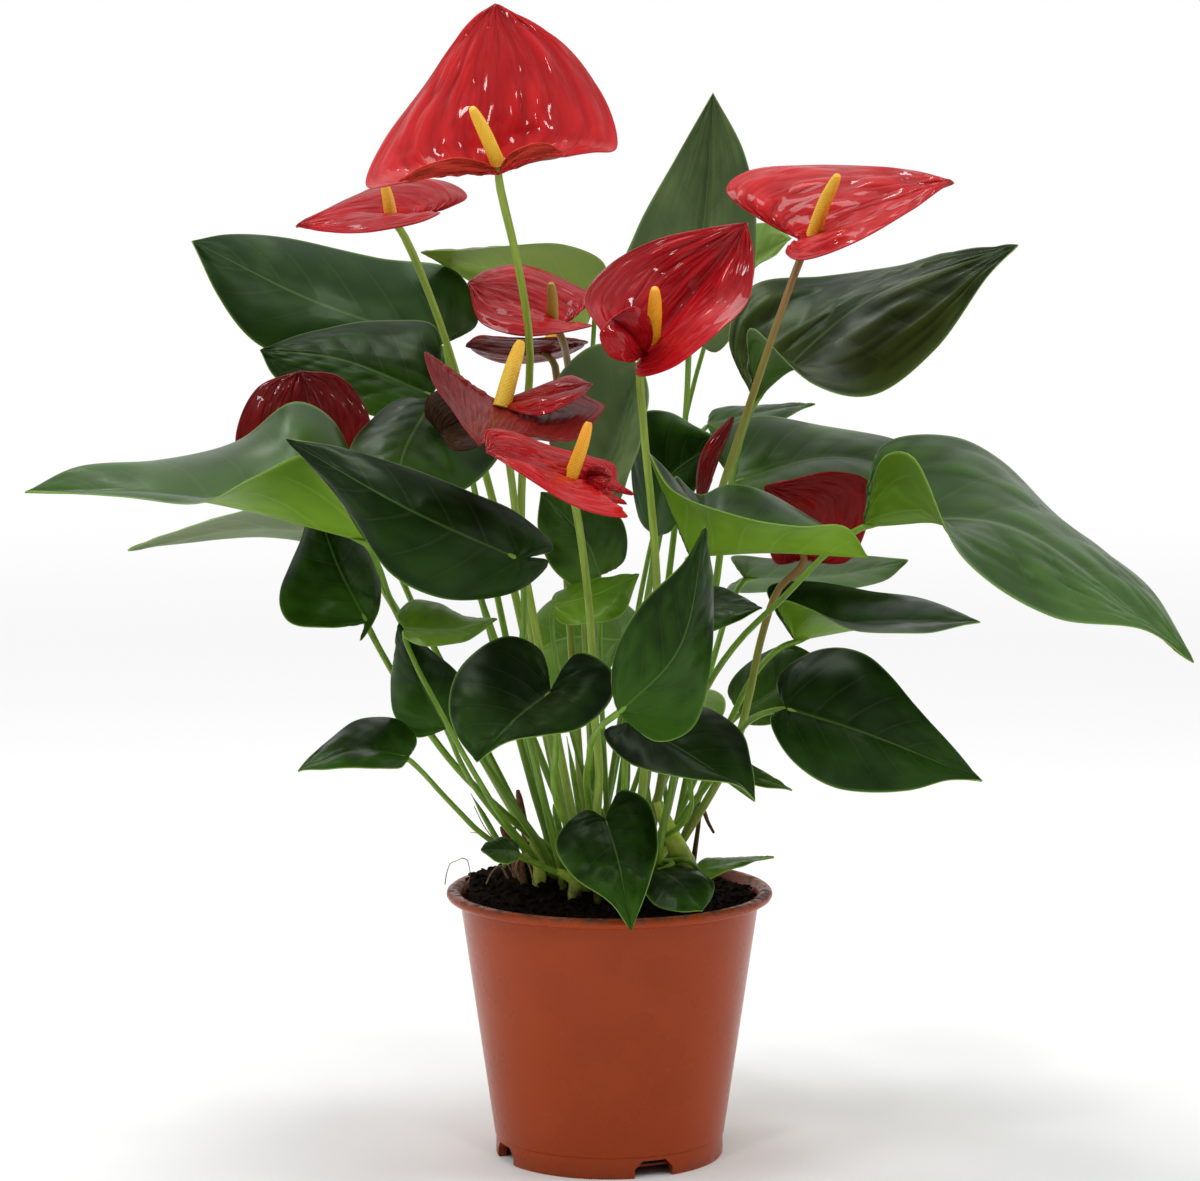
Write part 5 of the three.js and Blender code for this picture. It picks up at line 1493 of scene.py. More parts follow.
def add_spears(sculpture, dice):
    """Rolled young leaves that push up between the stems and lean outward like them."""
    shares = np.linspace(0, 1, SPEAR_RINGS)
    profile = (1 - 0.4 * shares) * (1 - 0.85 * smoothstep(0.72, 1.0, shares))
    for x, y in middle_spots[::2][:SPEAR_COUNT]:
        foot = ground(x, y)
        height = SPEAR_HEIGHT * (1 - 0.6 * math.hypot(x, y) / FOOT_SPREAD) * dice.uniform(0.65, 1.0)
        lean = np.array([x, y, 0.0]) * SPEAR_LEAN * height * dice.uniform(0.7, 1.1)
        girths = SPEAR_GIRTH * dice.uniform(0.7, 1.0) * profile
        add_sprout(sculpture, foot, foot + lean + [0, 0, height], lean * 0.12, girths, "stem_leaf")


print("free spots in the middle:", len(middle_spots))

# %% Make the leaves
for seed, (name, plan) in enumerate(leaf_plans.items()):
    sculpture = Sculpture()
    depth, furrows = VEIN_DEPTHS.get(name, PLAIN_VEIN_DEPTH), FURROWS.get(name, 0.0)
    size = (LEAF_STATIONS, LEAF_STEPS * 2 if furrows else LEAF_STEPS)
    add_leaf(sculpture, plan, LEAF_LOOKS[name], size, seed, depth, furrows)
    if name in SHEATHS:
        add_sheath(sculpture, stem_line(plan["stem"]), *SHEATHS[name])
    sculpture.build(f"{name}_leaf", [f"leaf_{name}"])
print("leaves:", len(leaf_plans))

# %% Make the shoots
for name, plans in shoot_plans.items():
    sculpture = Sculpture()
    add_sheath(sculpture, stem_line(plans[0]["stem"]), *SHEATHS.get(name, PLAIN_SHEATH))
    if name == "shoot_behind":
        add_sheath(sculpture, BRACT_LINE, BRACT_LINE.lengths[-1], BRACT_GIRTH)
    if name == "shoot_centre":
        add_spears(sculpture, random.Random(5))
    for seed, (plan, look) in enumerate(zip(plans, SHOOT_LOOKS[name])):
        add_leaf(sculpture, plan, look, (SMALL_STATIONS, SMALL_STEPS), seed + 40)
    sculpture.build(f"{name}_leaves", [f"leaf_{name}"])
print("shoots:", len(shoot_plans))

# %% [markdown]
# ## Spathes
# A spathe is a leaf turned into a showy bract. It is thicker than a leaf and glossy, and its skin is
# quilted: the veins sink in, and the skin between them swells in long blisters. It could be pressed
# out with a texture like cloth, but then the blisters would lie in any direction. Here they follow
# the ribs, because their noise is stretched along the blade.

# %% The relief of a spathe
RIB_SHARE_OF_DEPTH, BLISTER_SHARE, WRINKLE_SHARE, MIDRIB_SHARE_OF_DEPTH = 0.6, 0.4, 4.5, 1.2
WRINKLE_LEVEL, SPATHE_MIDRIB_WIDTH, SPATHE_WAVE = 0.2, 0.035, 1.2


def spathe_relief(depth, seed):
    """Sunken ribs from the base to the tip, wrinkles that follow them, and a softly wavy edge."""
    shift = Vector((seed * 5.7, seed * 2.3, 0.0))

    def relief(along, out, side):
        phase = np.abs((out / RIB_SPACING) % 1.0 - 0.5)
        ribs = -depth * RIB_SHARE_OF_DEPTH * smoothstep(0.36, 0.5, phase)
        blisters = depth * BLISTER_SHARE * np.cos(np.pi * phase)
        spots = [Vector((a * 4.5, o * 10 * s, s * 4)) + shift for a, o, s in zip(along, out, side)]
        wrinkles = np.abs([noise.noise(spot) for spot in spots]) - WRINKLE_LEVEL
        wrinkles = wrinkles * depth * WRINKLE_SHARE
        wave = np.array([noise.noise(Vector((spot.x * 0.5, spot.z, 9.0))) for spot in spots])
        rib = -depth * MIDRIB_SHARE_OF_DEPTH * np.exp(-((out / SPATHE_MIDRIB_WIDTH) ** 2))
        rib = rib * (along > BLADE_FAN)
        inner = inner_part(along, out, (0.03, 0.2), 0.14, 0.94)
        body = (ribs + blisters + wrinkles) * inner * (1 - smoothstep(0.86, 0.97, out) * 0.8)
        wave = wave * SPATHE_WAVE * smoothstep(0.4, 1.0, out) * smoothstep(0.05, 0.25, along)
        return body + wave + rib

    return relief


print("ribs on each half of a spathe:", round(1 / RIB_SPACING))

# %% [markdown]
# ## Spadices
# The spadix is the fleshy spike that carries hundreds of tiny flowers. They stand like beads in a
# slanting lattice, where two families of spirals cross. Separate beads could be set on a cone, but
# there would be thousands of them. Here one tube has its radius swell at every crossing, and the
# same height paints shade into the grooves and a lighter colour on the crowns.

# %% The beaded spadix
SPADIX_SIDES, SPADIX_RINGS, SPADIX_BEND, SPADIX_END = 44, 120, 1.5, 0.9995
BEADS_AROUND, BEAD_PITCH, BEAD_HEIGHT = 11, 1.25, 0.13


def add_spadix(sculpture, form, point, up, start, finish):
    """A tapering spike that starts a little way out along its own line, covered with a bead lattice."""
    end = seen(form["spadix_tip"])
    line = SmoothLine([point, (point + end) / 2 + up * SPADIX_BEND, end])
    length = line.lengths[-1]
    shares = np.linspace(start / length, 1.0, SPADIX_RINGS)
    shares[-1] = SPADIX_END
    taper = 0.35 + 0.65 * np.sqrt(1 - shares**5) * (1 - 0.25 * shares)
    turn = np.arange(SPADIX_SIDES) * 2 * np.pi / SPADIX_SIDES
    climb = shares[:, None] * length / BEAD_PITCH * np.pi
    around = turn[None] * BEADS_AROUND / 2
    bead = np.sqrt(np.abs(np.sin(around + climb) * np.sin(around - climb)))
    fading = smoothstep(0.0, 0.05, 1 - shares)[:, None]
    radii = form["spadix_radius"] * taper[:, None] * (1 + BEAD_HEIGHT * (bead - 0.5) * fading)
    points, faces, places = tube(line.at(shares), radii, SPADIX_SIDES)
    heights = np.append(bead.ravel(), 0.5)
    places = [[(place[0], heights[min(i, len(heights) - 1)]) for i, place in zip(face, ring)]
              for face, ring in zip(faces, places)]
    sculpture.add(points, faces, finish, places)


print("beads on a ring of a spadix:", BEADS_AROUND)

# %% Looks of the flowers: the inside and the outside of the spathe, the beads and the stalk
SPATHE_STATIONS, SPATHE_STEPS, SPATHE_THICKNESS = 72, 22, 0.85
FLOWER_LOOKS = dict(
    top="scarlet crimson yellow green",
    far_left="ruby crimson yellow green",
    top_right="scarlet crimson yellow brown",
    centre_cup="crimson crimson orange green",
    back="crimson wine olive brown",
    underside="crimson wine yellow brown",
    old_dark="brown brown yellow green",
    front="scarlet crimson orange green",
    hidden_left="wine brown yellow green",
    turned_away="garnet garnet olive brown",
)
SPATHE_DEPTHS = dict(top=0.62, top_right=0.75, far_left=0.3, old_dark=0.22)
FOLDS = dict(
    # The top spathe's folds take the fold shade, painted light for the light through them.
    top=[
        blade(
            (496, 171, -63), (446, 169, -79), (398, 181, -71),
            left=[(482, 161, -70), (456, 158, -76), (424, 166, -78)],
            right=[(480, 174, -68), (452, 174, -76), (424, 179, -76)], bow=0.0, look="fold"),
        blade(
            (500, 170, -63), (528, 153, -76), (562, 152, -74),
            left=[(510, 163, -68), (526, 158, -74), (545, 157, -76)],
            right=[(510, 154, -70), (526, 146, -74), (545, 143, -74)], bow=0.0, look="fold"),
    ],
    old_dark=[
        blade(
            (500, 408, -44), (470, 420, -26), (438, 432, -14),
            left=[(496, 428, -50), (478, 446, -44), (454, 450, -30)],
            right=[(486, 396, -36), (456, 388, -20), (430, 396, -10), (425, 414, -8)], look="umber"),
        blade(
            (505, 404, -42), (552, 398, -50), (592, 384, -46),
            left=[(512, 400, -38), (545, 386, -38), (572, 378, -38)],
            right=[(510, 410, -48), (545, 414, -62), (578, 398, -58)], bow=0.16, look="crimson"),
    ],
    centre_cup=[
        blade(
            (643, 354, -73), (634, 338, -84), (612, 318, -92),
            left=[(630, 362, -84), (608, 354, -94), (600, 334, -96)],
            right=[(652, 340, -76), (650, 318, -84), (632, 307, -92)], bow=0.2, look="crimson"),
    ],
    front=[
        blade(
            (578, 484, -92), (592, 476, -98), (612, 478, -106),
            left=[(584, 472, -94), (594, 466, -98), (606, 468, -103)],
            right=[(582, 490, -97), (594, 490, -103), (606, 486, -107)], bow=0.15, look="crimson"),
    ],
)
PLAIN_SPATHE_DEPTH, FOLD_DEPTH, FOLD_SIZE = 0.4, 0.12, (40, 10)
SPADIX_START, STALK_END = 0.3, 0.4
print("flowers with turned-in folds:", list(FOLDS))


# %% Make the flowers
def make_spathe(name, form, inside, outside, seed):
    """The spathe with its turned-in folds, in one piece."""
    spathe = Sculpture()
    relief = spathe_relief(SPATHE_DEPTHS.get(name, PLAIN_SPATHE_DEPTH), seed)
    finishes = (f"spathe_{inside}", f"spathe_{outside}", f"spathe_{outside}")
    sheet = blade_sheet(form, SPATHE_STATIONS, SPATHE_STEPS)
    add_blade(spathe, sheet, relief, SPATHE_THICKNESS, *finishes)
    for fold in FOLDS.get(name, []):
        finishes = ["spathe_" + fold["look"]] * 3
        relief = spathe_relief(FOLD_DEPTH, seed + 20)
        add_blade(spathe, blade_sheet(fold, *FOLD_SIZE), relief, SPATHE_THICKNESS, *finishes)
    spathe.build(f"{name}_spathe", [f"spathe_{name}"])


for seed, (name, plan) in enumerate(flower_plans.items()):
    inside, outside, beads, stalk = FLOWER_LOOKS[name].split()
    make_spathe(name, plan["form"], inside, outside, seed)
    spadix = Sculpture()
    add_spadix(spadix, plan["form"], plan["point"], plan["up"], SPADIX_START, f"spadix_{beads}")
    spadix.build(f"{name}_spadix", [f"spadix_{name}"])
    stem = Sculpture()
    add_stem(stem, plan["stem"], STALK_SIDES, f"stem_{stalk}", STALK_END)
    stem.build(f"{name}_stalk", [f"stalk_{name}"])
print("flowers:", len(flower_plans))

# %% [markdown]
# ## The bud
# One spathe at the right is still rolled up: a dark red spindle on its stalk, with the rolled edge
# winding around it. A blade could be rolled by hand, but only the step of its edge shows. So the bud
# is a tube whose radius grows slowly around and drops back at the edge, which climbs as it winds.

# %% The bud
BUD_RINGS, BUD_SIDES = 48, 36
BUD_POINT, BUD_RADIUS, BUD_GAP = 0.25, 3.4, 0.35
ROLL_STEP, ROLL_CLIMB, RIDGES, RIDGE_HEIGHT = 0.09, 0.35, 9, 0.015


def add_bud(sculpture, finish):
    """A rolled young spathe: a pointed spindle with the overlap of its rolled edge."""
    line = SmoothLine([seen(BUD["base"]), seen(BUD["middle"]), seen(BUD["tip"])])
    shares = np.linspace(0.0, 1.0, BUD_RINGS)
    girth = BUD_POINT + BUD_RADIUS * np.sin(np.pi * (0.085 + 0.9 * shares)) ** 0.8
    turn = np.linspace(0.0, 1.0, BUD_SIDES, endpoint=False)[None]
    overlap = (turn + ROLL_CLIMB * shares[:, None]) % 1.0
    ridges = RIDGE_HEIGHT * np.sin(turn * 2 * np.pi * RIDGES)
    radii = girth[:, None] * (1 + ROLL_STEP * (overlap - 0.5) + ridges)
    add_tube(sculpture, line.at(shares) + line.tangent(0.0)[0] * BUD_GAP, radii, BUD_SIDES, finish)


bud = Sculpture()
add_bud(bud, "spathe_wine")
bud.build("bud_spathe", ["spathe_bud"])
bud_stalk = Sculpture()
add_stem(bud_stalk, bud_stem, STALK_SIDES, "stem_green")
bud_stalk.build("bud_stalk", ["stalk_bud"])
print("bud: 2 pieces")

# %% [markdown]
# ## The pot
# A nursery pot is blown from thin plastic: a sloping wall, a rolled rim, a foot ring with drain
# cut-outs. It could be a cylinder that is bevelled and scaled, but each step would then be guessed.
# Here the wall's outline is written down in millimetres and turned about the axis, and four slots
# are cut through the foot.

# %% The pot's sizes in millimetres
POT_SIDES = 160
POT_HEIGHT, RIM_RADIUS, RIM_INNER_RADIUS, RIM_DEPTH = 99.2, 60.0, 56.0, 4.0
NECK_RADIUS, FOOT_RADIUS, FOOT_HEIGHT, FOOT_STEP = 55.0, 42.0, 8.0, 0.5
POT_WALL, FLOOR_UNDERSIDE, FOOT_RING_WIDTH = 1.5, 3.0, 2.8
SHARP_ANGLE = 38
NOTCH_COUNT, NOTCH_FIRST, NOTCH_WIDTH, NOTCH_HEIGHT = 4, -67.2, 15.0, 6.4
NOTCH_SHOULDER, NOTCH_REACH, NOTCH_LENGTH = 3.0, 5.5, 10.0


def pot_wall(height):
    """The outside radius of the sloping wall at a height."""
    climb = (height - FOOT_HEIGHT) / (POT_HEIGHT - RIM_DEPTH - FOOT_HEIGHT)
    return FOOT_RADIUS + FOOT_STEP + (NECK_RADIUS - FOOT_RADIUS - FOOT_STEP) * climb


print("the pot is", round(2 * pot_wall(POT_HEIGHT / 2), 1), "mm wide at half its height")


# %% The outline of the pot
def pot_outline():
    """(radius, height) from the middle of the floor's underside, around the wall, to its upper side."""
    top, floor, foot_inner = POT_HEIGHT, FLOOR_UNDERSIDE + POT_WALL, FOOT_RADIUS - FOOT_RING_WIDTH
    foot, neck, rim, inner = FOOT_RADIUS, NECK_RADIUS, RIM_RADIUS, RIM_INNER_RADIUS
    return [
        (0, FLOOR_UNDERSIDE), (foot_inner - 0.6, FLOOR_UNDERSIDE), (foot_inner, 0), (foot - 0.5, 0),
        (foot, 0.7), (foot, FOOT_HEIGHT - 0.2), (foot + FOOT_STEP * 0.8, FOOT_HEIGHT + 0.1),
        (foot + FOOT_STEP, FOOT_HEIGHT + 0.6), (neck - 0.05, top - RIM_DEPTH - 0.4),
        (neck + 0.4, top - RIM_DEPTH), (neck + 3.2, top - 3.7), (rim - 0.5, top - 2.9),
        (rim - 0.1, top - 2.2), (rim, top - 1.6), (rim - 0.2, top - 0.9), (rim - 0.8, top - 0.35),
        (rim - 2, top), (inner + 0.4, top - 0.05), (inner - 0.5, top - 0.5), (inner - 1.4, top - 1.6),
        (neck - POT_WALL, top - 5), (pot_wall(floor) - POT_WALL, floor), (0, floor),
    ]


print("points of the outline:", len(pot_outline()))


# %% Turning an outline into a body
def closed_faces(rings, sides):
    """Faces over a stack of rings, closed by one point on the axis below and one above."""
    last = rings * sides + 1
    top = last - sides
    faces = []
    for side in range(sides):
        after = (side + 1) % sides
        faces += [[0, 1 + after, 1 + side], [last, top + side, top + after]]
        for low in range(1, top, sides):
            high = low + sides
            faces.append([low + side, low + after, high + after, high + side])
    return faces


def turned(outline, sides):
    """Points and faces of an outline turned about the upright axis; its ends lie on the axis."""
    turn = np.arange(sides) * 2 * np.pi / sides
    points = [(0.0, 0.0, outline[0][1])]
    for radius, height in outline[1:-1]:
        points.extend(zip(radius * np.cos(turn), radius * np.sin(turn), [height] * sides))
    points.append((0.0, 0.0, outline[-1][1]))
    return np.array(points, float), closed_faces(len(outline) - 2, sides)


print("faces of the turned pot:", len(closed_faces(len(pot_outline()) - 2, POT_SIDES)))


# %% Cutters for the drain slots
def notch_angle(number):
    """The direction in which a slot lies."""
    return math.radians(NOTCH_FIRST + number * 360 / NOTCH_COUNT)


def notch_cutter(number):
    """A block with sloping shoulders that cuts one drain slot through the foot ring."""
    half, eaves = NOTCH_WIDTH / 2, NOTCH_HEIGHT - NOTCH_SHOULDER
    outline = [(-half, -1), (half, -1), (half, eaves), (half - NOTCH_SHOULDER, NOTCH_HEIGHT)]
    outline += [(NOTCH_SHOULDER - half, NOTCH_HEIGHT), (-half, eaves)]
    across, ahead = math.cos(notch_angle(number)), math.sin(notch_angle(number))
    outward, aside = np.array([across, ahead, 0]), np.array([-ahead, across, 0])
    near, points = FOOT_RADIUS - NOTCH_REACH, []
    for reach in (near, near + NOTCH_LENGTH):
        points += [outward * reach + aside * offset + [0, 0, height] for offset, height in outline]
    count = len(outline)
    faces = [[*range(count)][::-1], [*range(count, 2 * count)]]
    for i in range(count):
        j = (i + 1) % count
        faces.append([i, j, count + j, count + i])
    mesh = bpy.data.meshes.new("notch_cutter")
    mesh.from_pydata((np.array(points) * MM).tolist(), [], faces)
    return add_object("notch_cutter", mesh)


print("slots lie at", [round(math.degrees(notch_angle(number)), 1) for number in range(NOTCH_COUNT)])


# %% Cutting them out
def cut_away(piece, cutters):
    """Takes the cutters out of the piece for good and removes them from the scene."""
    for cutter in cutters:
        cut = piece.modifiers.new("cut", "BOOLEAN")
        cut.operation, cut.object, cut.solver = "DIFFERENCE", cutter, "EXACT"
    graph = bpy.context.evaluated_depsgraph_get()
    done = bpy.data.meshes.new_from_object(piece.evaluated_get(graph))
    piece.modifiers.clear()
    piece.data = done
    for cutter in cutters:
        bpy.data.objects.remove(cutter)


# %% [markdown]
# ## The pot's plastic
# The pot is terracotta-coloured plastic, smooth and a little glossy. It has been handled: there is
# soil dust on the rim and at the foot, and there are faint scratches around the wall. They could be
# painted on, but then they would end at a seam. Here both come from noise in space, and the height
# on the pot says where the dust may lie.

# %% Effect: soil dust on the rim and the foot, and scratches
RIM_TOP = 0.0994
SCRATCH_STRETCH = (60.0, 60.0, 900.0)


def make_soil_dust():
    """Dust in patches on top of the rim and a little around the foot, and fine scratches."""
    inputs = {"Rim Height": (FLOAT, 0.097), "Foot Height": (FLOAT, 0.008)}
    tree, source, result = new_effect("soil_dust", inputs, ["Dust", "Scratches"])
    place = object_place(tree)
    height = split_vector(tree, place)["Z"]
    rim = ramp_node(tree, height, source["Rim Height"], RIM_TOP)
    foot = ramp_node(tree, height, 0.0, source["Foot Height"], 0.35, 0.0)
    patches = ramp_node(tree, noise_node(tree, place, 320.0, 4.0, 0.65), 0.42, 0.62)
    link(tree, times(tree, math_node(tree, "MAXIMUM", rim, foot), patches), result["Dust"])
    stretched = add_node(tree, "VectorMath", {0: place, 1: SCRATCH_STRETCH}, operation="MULTIPLY")
    scratches = noise_node(tree, stretched.outputs[0], 1.0, 5.0, 0.7)
    link(tree, ramp_node(tree, scratches, 0.62, 0.72), result["Scratches"])


make_soil_dust()


# %% The pot's plastic
POT_SHADES = ((0.31, 0.041, 0.005), (0.35, 0.048, 0.006))
SCRATCH_PALE, DUST_BROWN = (0.55, 0.16, 0.09), (0.10, 0.045, 0.025)


def pot_finish():
    """Smooth plastic, a little cloudy, with pale scratches and dull dust."""
    _, tree, output = new_material("pot_plastic")
    clouds = use_effect(tree, "mottle", Scale=45.0, Low=0.1, High=0.9)["Clouds"]
    dust = use_effect(tree, "soil_dust", Rim_Height=0.0965)
    body = mix_colour(tree, clouds, *POT_SHADES)
    worn = mix_colour(tree, times(tree, dust["Scratches"], 0.12), body, SCRATCH_PALE)
    smooth = ramp_node(tree, clouds, 0.0, 1.0, 0.25, 0.30)
    principled(tree, output, {
        "Base Color": mix_colour(tree, dust["Dust"], worn, DUST_BROWN),
        "Roughness": math_node(tree, "ADD", smooth, times(tree, dust["Dust"], 0.4)),
        "Specular IOR Level": 0.2,
    })


pot_finish()
print("plastic from", POT_SHADES[0], "to", POT_SHADES[1])

# %% Make the pot
pot = Sculpture()
pot.add(*turned(pot_outline(), POT_SIDES), "pot_plastic")
pot_piece = pot.build("nursery_pot", ["pot"])
bpy.context.view_layer.update()
cut_away(pot_piece, [notch_cutter(number) for number in range(NOTCH_COUNT)])
pot_piece.data.set_sharp_from_angle(angle=math.radians(SHARP_ANGLE))
print("pot faces:", len(pot_piece.data.polygons))

# %% [markdown]
# ## The soil
# Potting soil is crumbs of peat with bits of root. A flat disc with a bump texture would give itself
# away at the rim and around the stems. The surface here is a fine height field with loose crumbs
# pressed into it, a few fine roots, and the green and brown stubs of old stems.

# %% Height field
GAP, SIDE_GAP, SHOULDER = 0.3, 0.55, 2.0
SOIL_SIDES, SOIL_RINGS, EDGE_HEAP, EDGE_RANGE = 200, 74, 3.4, (44.0, 52.0)
CRUMBLINESS = ((0.09, 1.6), (0.25, 1.5), (0.6, 0.9))
SURFACE_REACH = 0.985


def rough_soil_height(x, y):
    """The soil's height with crumbs of several sizes."""
    rough = 0.0
    for scale, height in CRUMBLINESS:
        rough += noise.noise(Vector((x * scale, y * scale, 3.0))) * height
    edge = EDGE_HEAP * float(smoothstep(*EDGE_RANGE, math.hypot(x, y)))
    return float(soil_height(x, y)) + rough + edge


def add_soil(sculpture):
    """A closed body: floor, side wall, then rings of the rough surface up to the middle."""
    bottom, shoulder = FLOOR_UNDERSIDE + POT_WALL + GAP, SOIL_EDGE - SHOULDER
    low, reach = (pot_wall(height) - POT_WALL - SIDE_GAP for height in (bottom, shoulder))
    turn = np.arange(SOIL_SIDES) * 2 * np.pi / SOIL_SIDES
    ring = np.stack([np.cos(turn), np.sin(turn)], axis=1)
    rows = [np.column_stack([ring * low, np.full(SOIL_SIDES, bottom)])]
    rows.append(np.column_stack([ring * reach, np.full(SOIL_SIDES, shoulder)]))
    for i in range(SOIL_RINGS, 0, -1):
        spots = ring * reach * SURFACE_REACH * i / SOIL_RINGS
        rows.append(np.column_stack([spots, [rough_soil_height(x, y) for x, y in spots]]))
    points = np.vstack([[[0, 0, bottom]], *rows, [[0, 0, rough_soil_height(0, 0)]]])
    sculpture.add(points, closed_faces(len(rows), SOIL_SIDES), "soil_dark")


print("the soil stands", round(rough_soil_height(0.0, 0.0), 1), "mm high in the middle")

# %% Crumbs and roots
THREAD_SIDES, THREAD_RINGS = 8, 24


def add_crumb(sculpture, middle, size, dice, finish):
    """A small rough lump of peat around a middle point."""
    sketch = bmesh.new()
    bmesh.ops.create_icosphere(sketch, subdivisions=1, radius=1.0)
    stretch = np.array([dice.uniform(0.7, 1.3), dice.uniform(0.7, 1.3), dice.uniform(0.5, 0.9)])
    points = [np.array(v.co) * stretch * size * dice.uniform(0.75, 1.15) + middle for v in sketch.verts]
    faces = [[v.index for v in face.verts] for face in sketch.faces]
    sketch.free()
    sculpture.add(points, faces, finish)


def lay_crumb(sculpture, x, y, size, raised, dice, finish):
    """A crumb on the rough surface; raised is how far its middle stands above it, against its size."""
    add_crumb(sculpture, np.array([x, y, rough_soil_height(x, y) + size * raised]), size, dice, finish)


def add_thread(sculpture, spots, thickness, finish):
    """A thin root through a few spots given as (across, down, depth) in the photograph's frame."""
    line = SmoothLine([seen(spot) for spot in spots])
    shares = np.linspace(0, 1, THREAD_RINGS)
    add_tube(sculpture, line.at(shares), thickness * (1 - 0.5 * shares), THREAD_SIDES, finish)


print("a root has", THREAD_RINGS, "rings of", THREAD_SIDES, "points")


# %% Soil finishes
def soil_finish(name, dark, light):
    """Dull, grainy soil in two clouded shades."""
    _, tree, output = new_material(name)
    mottle = use_effect(tree, "mottle", Scale=400.0)
    principled(tree, output, {
        "Base Color": mix_colour(tree, mottle["Clouds"], dark, light),
        "Roughness": 0.9,
        "Specular IOR Level": 0.1,
        "Normal": bump_node(tree, mottle["Grain"], 0.8, 0.0006),
    })


soil_finish("soil_dark", (0.007, 0.004, 0.002), (0.020, 0.011, 0.006))
soil_finish("crumb_dark", (0.006, 0.003, 0.002), (0.016, 0.009, 0.005))
soil_finish("crumb_brown", (0.020, 0.010, 0.005), (0.045, 0.024, 0.012))
print("finishes in all:", len(bpy.data.materials))

# %% The roots: the spots that each passes through, and its thickness
ROOTS = dict(
    root_pale=[
        ([(445, 884, -16), (447, 872, -19), (451, 863, -21), (456, 861, -20), (462, 858, -19)], 0.24),
        ([(462, 858, -19), (467, 860, -15), (469, 866, -12), (470, 876, -9), (466, 890, -8)], 0.2),
        ([(512, 872, -16), (498, 846, -20), (484, 826, -22), (474, 806, -22)], 0.3),
        ([(520, 868, -14), (503, 850, -18), (488, 836, -20), (470, 832, -22)], 0.25),
        ([(508, 878, -18), (500, 866, -22), (492, 872, -26), (486, 884, -28)], 0.5),
        ([(520, 880, -20), (516, 866, -22), (524, 854, -20), (530, 868, -22), (534, 884, -26)], 0.55),
    ],
    root_brown=[
        ([(518, 876, -12), (515, 850, -14), (513, 828, -16)], 2.2),
        ([(566, 890, -8), (562, 850, -8), (566, 812, -8), (556, 796, -8)], 1.5),
        ([(690, 886, 8), (695, 850, 6), (699, 820, 4), (700, 803, 4)], 1.3),
        ([(700, 803, 4), (705, 814, 4), (708, 822, 4), (714, 833, 4)], 1.0),
        ([(524, 884, -14), (522, 862, -14), (528, 842, -15)], 1.4),
        ([(610, 900, -30), (625, 892, -34), (640, 897, -36)], 0.7),
    ],
)

print("roots:", sum(len(threads) for threads in ROOTS.values()))

# %% Crumbs all over, at the stems and in the drain slots
CRUMB_COUNT, CRUMB_REACH, CRUMB_SIZES, BROWN_SHARE = 1200, 53.4, (0.4, 1.4), 0.25
COLLAR_CRUMBS, COLLAR_REACH, COLLAR_SIZES = 7, (2.2, 4.6), (0.9, 2.0)
FRINGE_COUNT, FRINGE_SPREAD, FRINGE_HEIGHTS, FRINGE_SIZES = 26, 0.17, (4.9, 6.2), (0.35, 0.7)


def scatter_crumbs(sculpture, dice):
    """Loose crumbs all over the surface."""
    for _ in range(CRUMB_COUNT):
        turn, reach = dice.uniform(0, 2 * math.pi), CRUMB_REACH * math.sqrt(dice.random())
        finish = "crumb_brown" if dice.random() < BROWN_SHARE else "crumb_dark"
        size = dice.uniform(*CRUMB_SIZES)
        lay_crumb(sculpture, reach * math.cos(turn), reach * math.sin(turn), size, 0.25, dice, finish)


def heap_crumbs(sculpture, dice):
    """Bigger crumbs pressed against the foot of every stem."""
    for stem in all_stems:
        for _ in range(COLLAR_CRUMBS):
            turn, reach = dice.uniform(0, 2 * math.pi), dice.uniform(*COLLAR_REACH)
            x, y = stem.foot[0] + reach * math.cos(turn), stem.foot[1] + reach * math.sin(turn)
            lay_crumb(sculpture, x, y, dice.uniform(*COLLAR_SIZES), 0.3, dice, "crumb_dark")


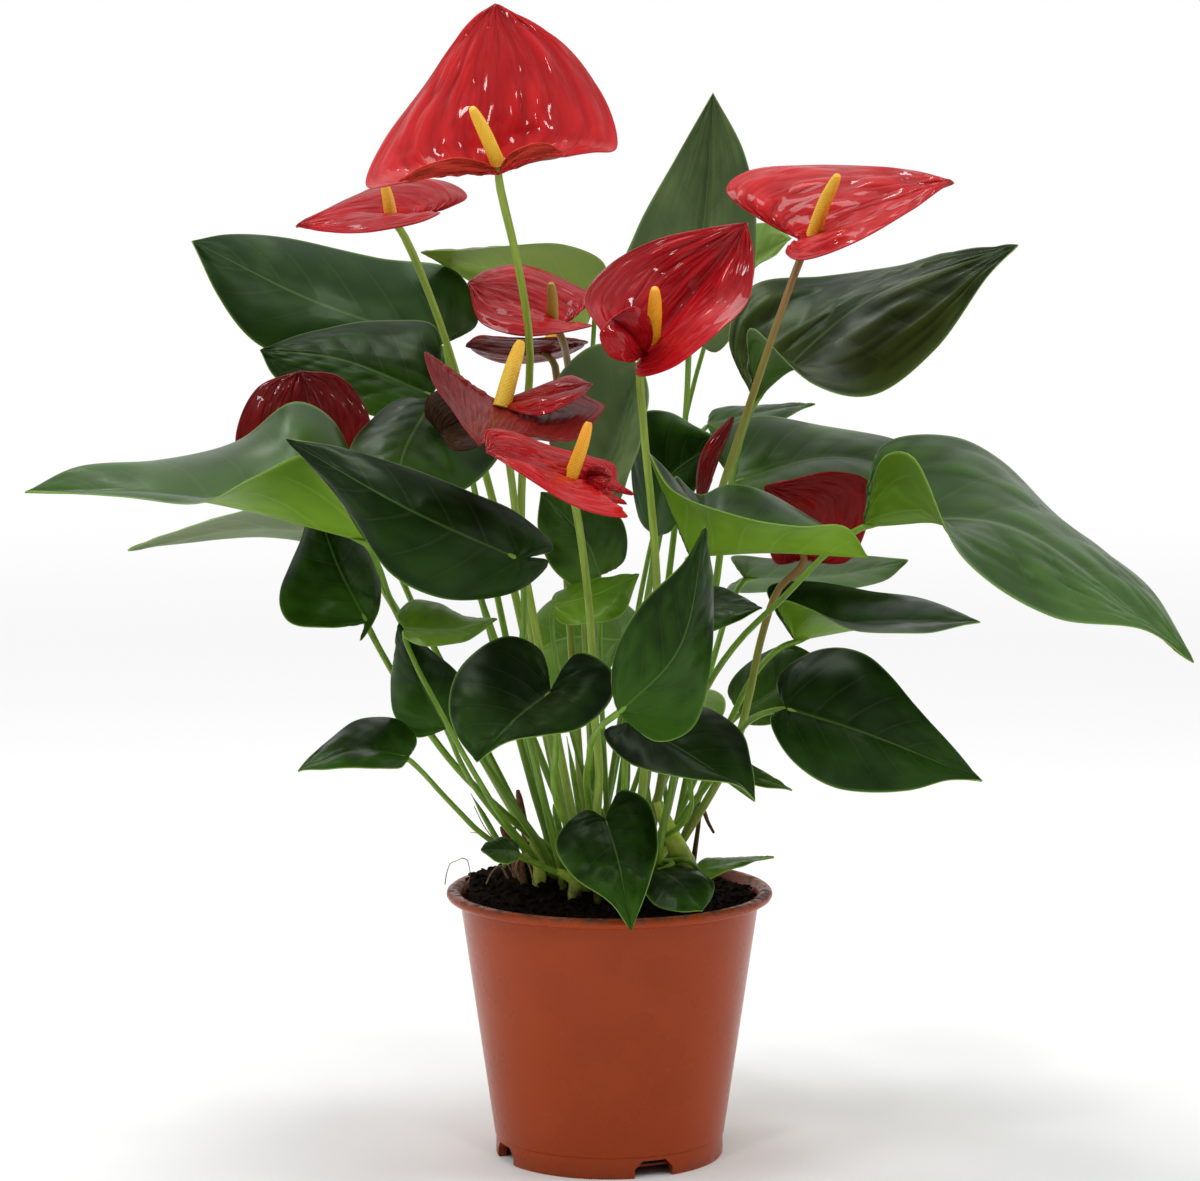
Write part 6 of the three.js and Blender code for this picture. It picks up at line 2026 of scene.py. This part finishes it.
def add_fringe(sculpture, dice):
    """Crumbs that show in the drain slots, held by the side of the root ball."""
    for number in range(NOTCH_COUNT):
        for _ in range(FRINGE_COUNT):
            turn = notch_angle(number) + dice.uniform(-FRINGE_SPREAD, FRINGE_SPREAD)
            height = dice.uniform(*FRINGE_HEIGHTS)
            reach = pot_wall(height) - POT_WALL - SIDE_GAP - 0.1
            place = np.array([reach * math.cos(turn), reach * math.sin(turn), height])
            add_crumb(sculpture, place, dice.uniform(*FRINGE_SIZES), dice, "crumb_dark")


print("loose crumbs:", CRUMB_COUNT + COLLAR_CRUMBS * len(all_stems) + FRINGE_COUNT * NOTCH_COUNT)

# %% Cut ends of old stems
STUB_COUNT, STUB_HEIGHTS, STUB_GIRTHS, STUB_RINGS = 8, (14.0, 34.0), (1.5, 2.2), 16
STUB_FINISHES = ("stem_leaf", "stem_leaf", "stem_brown", "root_brown")


def add_stubs(sculpture, dice):
    """Cut ends of old stems, on the spots nearest the middle that no stem has taken."""
    shares = np.linspace(0, 1, STUB_RINGS)
    profile = (1 - 0.35 * shares) * (1 - 0.5 * smoothstep(0.9, 1.0, shares))
    for x, y in middle_spots[1::2][:STUB_COUNT]:
        lean = np.array([x, y, 0.0]) * dice.uniform(0.1, 0.35)
        lean = lean + [dice.uniform(-3, 3), dice.uniform(-3, 3), 0]
        top = ground(x, y) + lean + [0, 0, dice.uniform(*STUB_HEIGHTS)]
        girths = dice.uniform(*STUB_GIRTHS) * profile
        add_sprout(sculpture, ground(x, y), top, lean * 0.15, girths, dice.choice(STUB_FINISHES))


print("stubs:", STUB_COUNT)

# %% Put the soil together
soil = Sculpture()
add_soil(soil)
dice = random.Random(7)
scatter_crumbs(soil, dice)
heap_crumbs(soil, dice)
add_fringe(soil, dice)
add_stubs(soil, random.Random(11))
for finish, threads in ROOTS.items():
    for spots, thickness in threads:
        add_thread(soil, spots, thickness, finish)
soil.build("potting_soil", ["soil"])
print("soil faces:", len(soil.faces))

# %% [markdown]
# ## Last look
# Both boxes are gathered, and the box of the finished pieces is printed; the CAD part's box was printed
# at the start. The finished pieces must fill the same box as the CAD part, within a few parts in a
# hundred.

# %% Gather the two boxes and print the made one
made_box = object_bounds()
sizes = {"cad": [list(corner) for corner in cad_box], "made": [list(corner) for corner in made_box]}
print("made box:", sizes["made"])
